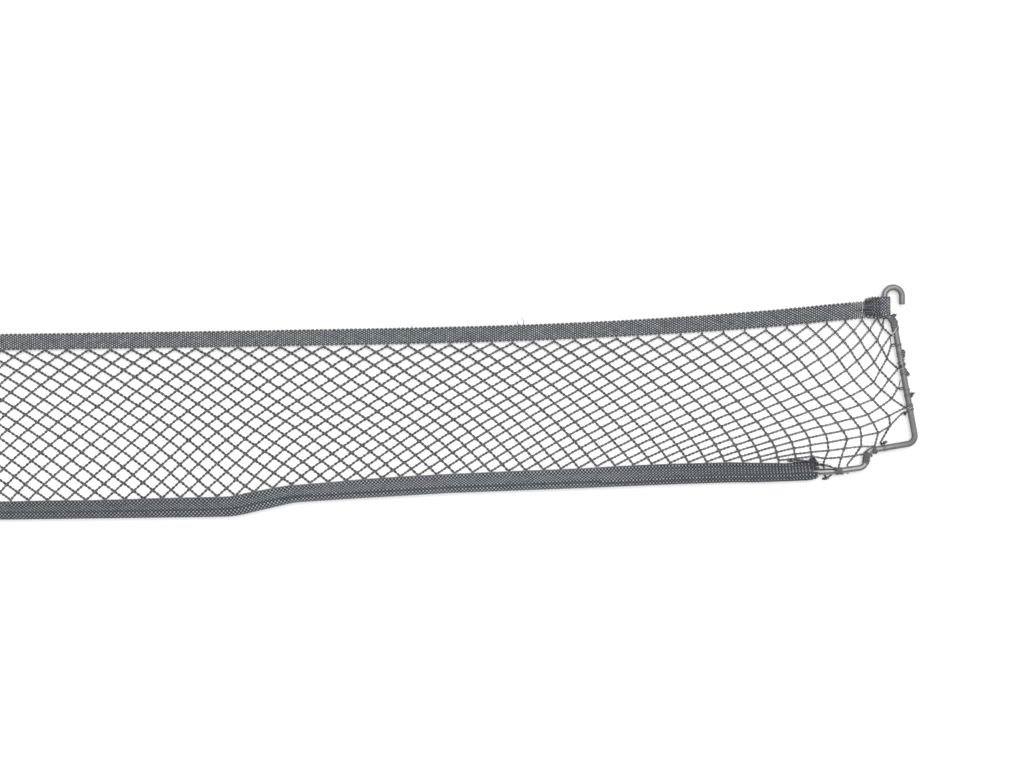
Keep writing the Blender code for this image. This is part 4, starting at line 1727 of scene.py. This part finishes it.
@dataclass(frozen=True)
class FlapStitching:
    """Sizes of what sews a flap down: a patch of satin stitch at its end, and rows."""

    satin_threads: int = 15
    satin_points: int = 9
    satin_inset: float = 0.2        # from the flap's end
    satin_length: float = 5.2
    satin_reaches: Pair = (0.92, 1.04)  # of its threads, as shares of its length
    satin_from: float = 0.36        # of the tape's width, up from its middle
    satin_depth: float = 0.66
    satin_curve: float = 0.5        # how far the outermost threads spread at their ends
    satin_slant: float = 0.12
    satin_lift: float = 0.62        # at a thread's ends
    satin_bulge: float = 0.2
    satin_tones: Pair = (0.1, 0.5)
    # painted highlight: these satin threads are coloured pale where the patch catches the light
    satin_highlights: tuple[int, ...] = (5, 8, 11)
    satin_highlight_tone: float = 0.95
    rows: tuple[float, ...] = (5.9, 7.8, 9.7)       # lengths from the flap's end
    row_spread: float = 0.1         # of its stitches, to both sides
    row_span: Triple = (-0.36, 0.40, 0.125)  # of width: from, to, step
    stitch_length: float = 1.0
    stitch_lift: tuple[float, ...] = (0.3, 0.72, 0.8, 0.72, 0.3)  # along one stitch


@dataclass
class ThreadWork:
    """Lashings, knots, stitches and loose thread ends of the frame."""

    wire: WireFrame
    top: TopTape
    thread: Section = Section(0.62, 0.5, 4)
    loose: Section = Section(0.7, 0.6, 5)
    pale: Section = Section(0.45, 0.4, 4)
    bunch: Section = Section(0.5, 0.44, 4)
    fibre: Section = Section(0.3, 0.26, 3)
    fibre_lightness: float = 0.25
    loose_lightness: float = 0.1
    flap: FlapStitching = FlapStitching()
    tones: Pair = (0.45, 1.0)       # of threads with no set lightness
    askew: Triple = (0.31, 0.17, 0.93)  # faced by threads with no facing
    loose_points: int = 14
    hair_points: int = 10
    hair_taper: float = 0.4         # thickness at the end, as a share of that at the start
    points_a_turn: int = 10
    wrap_roughness: float = 0.06
    crossing_reach: float = 0.8     # of looser turns, as a share of the lashing's length
    crossing_rise: float = 0.4      # of looser turns over those below
    bunch_lengths: Pair = (0.6, 1.0)  # of its threads, as shares of its own
    bunch_rounding: float = 0.6     # how much shorter its outer threads are
    bunch_bend: float = 0.12        # of its width
    bunch_wave: float = 2.2         # radians of the bend from its middle to its ends
    bunch_corners: tuple[float, ...] = (-1.0, -0.4, 0.3, 1.0)
    bunch_roughness: float = 0.06
    bunch_points: int = 9
    bunch_taper: float = 0.8
    bunch_spread: float = 0.25      # of its threads' lightness, to both sides
    fibres_a_bunch: int = 3
    fibre_length: float = 0.9       # of the bunch's width
    fibre_start: float = 5.0        # the bunch's width over their spread where they start
    fibre_taper: float = 0.55
    fibre_steps: int = 7
    fibre_turns: Triple = (0.45, 0.16, 0.12)  # at first, steady, uneven
    seed: int = 23

    def __post_init__(self) -> None:
        """Start the source of unevenness."""
        self.chance = random.Random(self.seed)

    def jitter(self, size: float) -> Array:
        """Return a random displacement."""
        return np.array([self.chance.gauss(0.0, size) for _ in range(3)])

    def route(self, points: Array, facing: Array | None = None,
              lightness: float | None = None, taper: float = 1.0) -> Route:
        """Make a line for a thread.

        Args:
            points: its points.
            facing: the direction that the thread's flat side faces.
            lightness: how light it is, from 0 to 1.
            taper: its thickness at the end.

        Returns:
            The line.
        """
        ahead = unit(np.gradient(points, axis=0))
        if facing is None:
            facing = np.cross(ahead, np.array(self.askew))
        facing = unit(facing - ahead * (facing * ahead).sum(axis=1, keepdims=True))
        count = len(points)
        tone = self.chance.uniform(*self.tones) if lightness is None else lightness
        return Route(points, facing, {
            "fullness": np.linspace(1.0, taper, count), "lift": np.full(count, tone)})

    def mirrored(self, corners: Sequence[Sequence[float]], end: End) -> Array:
        """Return the places that points of the right end have at one of the ends."""
        points = np.array(corners, dtype=float) * (end.value, 1.0, 1.0)
        return points - (0.0, self.wire.drop(end), 0.0)

    def wrap(self, lashing: Lashing, end: End) -> list[Route]:
        """Wind a lashing's thread round the wire, and cross it with a few looser turns.

        Args:
            lashing: its sizes.
            end: which end it is at.

        Returns:
            The lines.
        """
        place = self.mirrored([(lashing.across, lashing.up, 0.0)], end)[0, :2]
        middle = self.wire.line.nearest(place)
        radius = (self.wire.diameter + self.thread.thickness) / 2
        routes = []
        for turns, reach, lift, way in (
                (lashing.turns, lashing.length, 0.0, 1),
                (lashing.crossing, lashing.length * self.crossing_reach,
                 self.crossing_rise, -1)):
            if turns > 0:
                share = np.linspace(0.0, 1.0, round(turns * self.points_a_turn) + 1)
                angles = way * 2 * math.pi * (turns * share + self.chance.random())
                rough = np.array([self.chance.uniform(
                    -self.wrap_roughness, self.wrap_roughness) for _ in share])
                points, out = self.wire.around(
                    middle + (share - 0.5) * reach, radius + lift + rough, angles)
                routes.append(self.route(points, out))
        return routes

    def bunch_routes(self, bunch: Bunch, end: End) -> list[Route]:
        """Lay the threads of a bunch side by side, crossing each other a little.

        Args:
            bunch: its sizes.
            end: which end it is at.

        Returns:
            The lines.
        """
        centre = np.array((bunch.across, bunch.up, bunch.height))
        turn = math.radians(bunch.turn)
        ahead = np.array((math.cos(turn), math.sin(turn), 0.0))
        side = np.array((-ahead[1], ahead[0], 0.0))
        routes = []
        for _ in range(bunch.threads):
            angle, away = self.chance.uniform(0, 2 * math.pi), self.chance.random() ** 0.5
            shift = (side * math.cos(angle) + np.array((0.0, 0.0, math.sin(angle)))) * (
                away * (bunch.width - self.bunch.width) / 2)
            half = bunch.length / 2 * self.chance.uniform(*self.bunch_lengths) * math.sqrt(
                1 - self.bunch_rounding * away ** 2)
            bend = self.jitter(self.bunch_bend * bunch.width) * (1.0, 1.0, 0.5)
            corners = [centre + shift + ahead * half * place
                       + bend * math.cos(self.bunch_wave * place)
                       + self.jitter(self.bunch_roughness) for place in self.bunch_corners]
            points = smooth_way(self.mirrored(corners, end), self.bunch_points)
            points[:, 2] = np.maximum(points[:, 2], self.bunch.width)
            tone = bunch.lightness + self.chance.uniform(-self.bunch_spread, self.bunch_spread)
            tone = min(max(tone, 0.0), 1.0)
            routes.append(self.route(points, lightness=tone, taper=self.bunch_taper))
        return routes

    def loose_end(self, start: Array, direction: Array, length: float) -> Route:
        """Let a thread end curl away.

        Args:
            start: where it comes from.
            direction: where it points.
            length: how long it is.

        Returns:
            The line.
        """
        points = [start]
        at_first, steady, uneven = self.fibre_turns
        heading = unit(direction + self.jitter(at_first))
        bend = self.jitter(steady)
        for _ in range(self.fibre_steps):
            heading = unit(heading + bend + self.jitter(uneven))
            points.append(points[-1] + heading * length / self.fibre_steps)
        points = np.array(points)
        points[:, 2] = np.maximum(points[:, 2], self.fibre.width)
        return self.route(points, lightness=self.fibre_lightness, taper=self.fibre_taper)

    def frayed_routes(self, end: End) -> list[Route]:
        """Fray the bunches, the sleeve's upper edge next to its end, and the thread tail.

        Args:
            end: which end of the strip.

        Returns:
            The lines of the fibres.
        """
        routes = []
        for bunch in BUNCHES:
            centre = self.mirrored([(bunch.across, bunch.up, bunch.height)], end)[0]
            for _ in range(self.fibres_a_bunch):
                routes.append(self.loose_end(
                    centre + self.jitter(bunch.width / self.fibre_start),
                    self.jitter(1.0) * (1.0, 1.0, 0.3), bunch.width * self.fibre_length))
        for fraying in FRAYINGS:
            toward = np.array(fraying.toward) * (end.value, 1.0, 1.0)
            for _ in range(fraying.count):
                start = [self.chance.uniform(*sides) for sides in zip(fraying.low, fraying.high)]
                routes.append(self.loose_end(
                    self.mirrored([start], end)[0], toward, fraying.length))
        return routes

    def stitches(self, end: End) -> list[Route]:
        """Sew the flap down: a satin patch at its end, then rows of stitches.

        Args:
            end: which end of the strip.

        Returns:
            The lines of the thread.
        """
        routes = []
        flap, width, length = self.flap, self.top.width, self.top.line.length

        def on_flap(inward: Array, across: Array, lift: Array) -> Array:
            """Return points of the flap; folded back, it shows the tape's other face."""
            along = length - inward if end is End.RIGHT else inward
            return self.top.place(along, across, -lift)[0]

        share = np.linspace(-1.0, 1.0, flap.satin_points)
        for number in range(flap.satin_threads):
            up = width * (flap.satin_from - flap.satin_depth * number / (flap.satin_threads - 1))
            reach = flap.satin_length * self.chance.uniform(*flap.satin_reaches) / 2
            inward = flap.satin_inset + reach * (1 + share)
            across = up + flap.satin_curve * up / width * share ** 2 + flap.satin_slant * share
            lift = flap.satin_lift + flap.satin_bulge * (1 - share ** 2)
            # painted highlight on a few satin threads
            routes.append(self.route(on_flap(inward, across, lift), lightness=(
                flap.satin_highlight_tone if number in flap.satin_highlights
                else self.chance.uniform(*flap.satin_tones))))
        lift = np.array(flap.stitch_lift)
        along_stitch = np.linspace(-0.5, 0.5, len(lift)) * flap.stitch_length
        for row in flap.rows:
            for up in np.arange(*flap.row_span) * width:
                inward = row + self.chance.uniform(-flap.row_spread, flap.row_spread)
                points = on_flap(np.full(len(lift), inward), up + along_stitch, lift)
                routes.append(self.route(points, lightness=0.0))
        return routes

    def build(self, loom: Loom) -> list[Piece]:
        """Wind every lashing, sew the flaps down and lay the loose threads.

        Args:
            loom: the trees and the materials.

        Returns:
            The pieces.
        """
        pieces, palette = [], loom.palette
        for end in End:
            side = end.name.lower()
            for lashing in LASHINGS:
                threads = self.wrap(lashing, end)
                for bunch in BUNCHES:
                    if bunch.name == lashing.name:
                        threads.extend(self.bunch_routes(bunch, end))
                piece = loom.weave(f"thread_{side}_{lashing.name}", threads, self.thread,
                                   palette.thread)
                pieces.append(finish_piece(piece, Slot.THREAD, f"lashing_{side}_{lashing.name}"))
            dark, pale = (
                [self.route(smooth_way(self.mirrored(strand, end), self.loose_points),
                            lightness=lightness) for strand in strands]
                for strands, lightness in (
                    (DARK_STRANDS, self.loose_lightness), (PALE_STRANDS, None)))
            for bunch in TORN_THREADS:
                dark.extend(self.bunch_routes(bunch, end))
            if end is End.RIGHT:
                dark.extend(self.route(smooth_way(np.array(hair), self.hair_points),
                                       lightness=1.0, taper=self.hair_taper)
                            for hair in HAIRS)
            for name, routes, section, finish in (
                    ("loose_threads", dark, self.loose, palette.thread),
                    ("pale_threads", pale, self.pale, palette.pale_thread),
                    ("frayed_fibres", self.frayed_routes(end), self.fibre, palette.thread),
                    ("flap_stitches", self.stitches(end), self.thread, palette.stitch)):
                piece = loom.weave(f"{name}_{side}", routes, section, finish)
                pieces.append(finish_piece(piece, Slot.THREAD))
        return pieces


def smooth_way(corners: Array, count: int) -> Array:
    """Run a smooth line through some corners.

    Args:
        corners: the corners, two or more.
        count: how many points it gets.

    Returns:
        Its points.
    """
    ends = np.concatenate((corners[:1] * 2 - corners[1:2], corners,
                           corners[-1:] * 2 - corners[-2:-1]))
    where = np.linspace(0.0, len(corners) - 1 - 1e-6, count)
    span = where.astype(int)
    t = (where - span)[:, None]
    before, one, two, after = (ends[span + shift] for shift in range(4))
    return 0.5 * (2 * one + (two - before) * t
                  + (2 * before - 5 * one + 4 * two - after) * t ** 2
                  + (3 * one - before - 3 * two + after) * t ** 3)


# ---- Surroundings -----------------------------------------------------------------------


@dataclass
class Studio:
    """A white table, soft light and a camera straight above, as in the photograph."""

    picture_centre: Pair = (192.4, 11.4)
    picture_width: float = 665.6
    camera_height: float = 1700.0
    sensor: float = 36.0
    table: float = 3000.0
    table_white: Colour = (0.72, 0.72, 0.72)
    table_glow: float = 0.28        # light of its own, which makes contact shadows fainter
    table_roughness: float = 0.9
    focus_height: float = 3.0
    window_strength: float = 3.1
    window_spread: float = math.radians(72.0)
    window_tilt: float = math.radians(14.0)     # from straight above, towards the hooks
    window_lean: float = math.radians(7.0)      # towards the strip's right end
    sky_strength: float = 0.33

    def build(self) -> None:
        """Set the table, the lights and the camera."""
        self._table()
        self._light()
        self._camera()

    def _table(self) -> None:
        """Lay the white table."""
        half = self.table / 2 * MM
        mesh = bpy.data.meshes.new("table")
        mesh.from_pydata([(-half, -half, 0.0), (half, -half, 0.0), (half, half, 0.0),
                          (-half, half, 0.0)], [], [(0, 1, 2, 3)])
        finish = Finish("white_table")
        finish.shade({
            "Base Color": opaque(self.table_white), "Emission Color": opaque(WHITE),
            "Emission Strength": self.table_glow, "Roughness": self.table_roughness,
            "Specular IOR Level": 0.0})
        mesh.materials.append(finish.material)
        table = bpy.data.objects.new("table", mesh)
        bpy.context.collection.objects.link(table)

    def _light(self) -> None:
        """Light the table evenly from all round, a little more from beyond it."""
        world = bpy.data.worlds.new("soft_sky")
        world.use_nodes = True
        background = world.node_tree.nodes["Background"]
        background.inputs["Color"].default_value = opaque(WHITE)
        background.inputs["Strength"].default_value = self.sky_strength
        bpy.context.scene.world = world
        data = bpy.data.lights.new("window", "SUN")
        data.energy = self.window_strength
        data.angle = self.window_spread
        sun = bpy.data.objects.new("window", data)
        sun.rotation_euler = (-self.window_tilt, self.window_lean, 0.0)
        bpy.context.collection.objects.link(sun)

    def _camera(self) -> None:
        """Hold the camera straight above the middle of the picture."""
        data = bpy.data.cameras.new("camera")
        data.sensor_width = self.sensor
        data.lens = (self.camera_height - self.focus_height) * self.sensor / self.picture_width
        data.clip_end = 20.0
        camera = bpy.data.objects.new("camera", data)
        camera.location = Vector((*self.picture_centre, self.camera_height)) * MM
        bpy.context.collection.objects.link(camera)
        bpy.context.scene.camera = camera
        bpy.context.scene.view_settings.view_transform = "Standard"


def main() -> None:
    """Dress the whole net."""
    logging.basicConfig(level=logging.INFO, format="%(name)s %(message)s")
    Studio().build()
    loom, wire = Loom(), WireFrame()
    top, sleeve = TopTape(wire), Sleeve(wire)
    for part in (wire, top, sleeve, Netting(wire, top, sleeve), ThreadWork(wire, top)):
        part.build(loom)


if __name__ == "__main__":
    main()
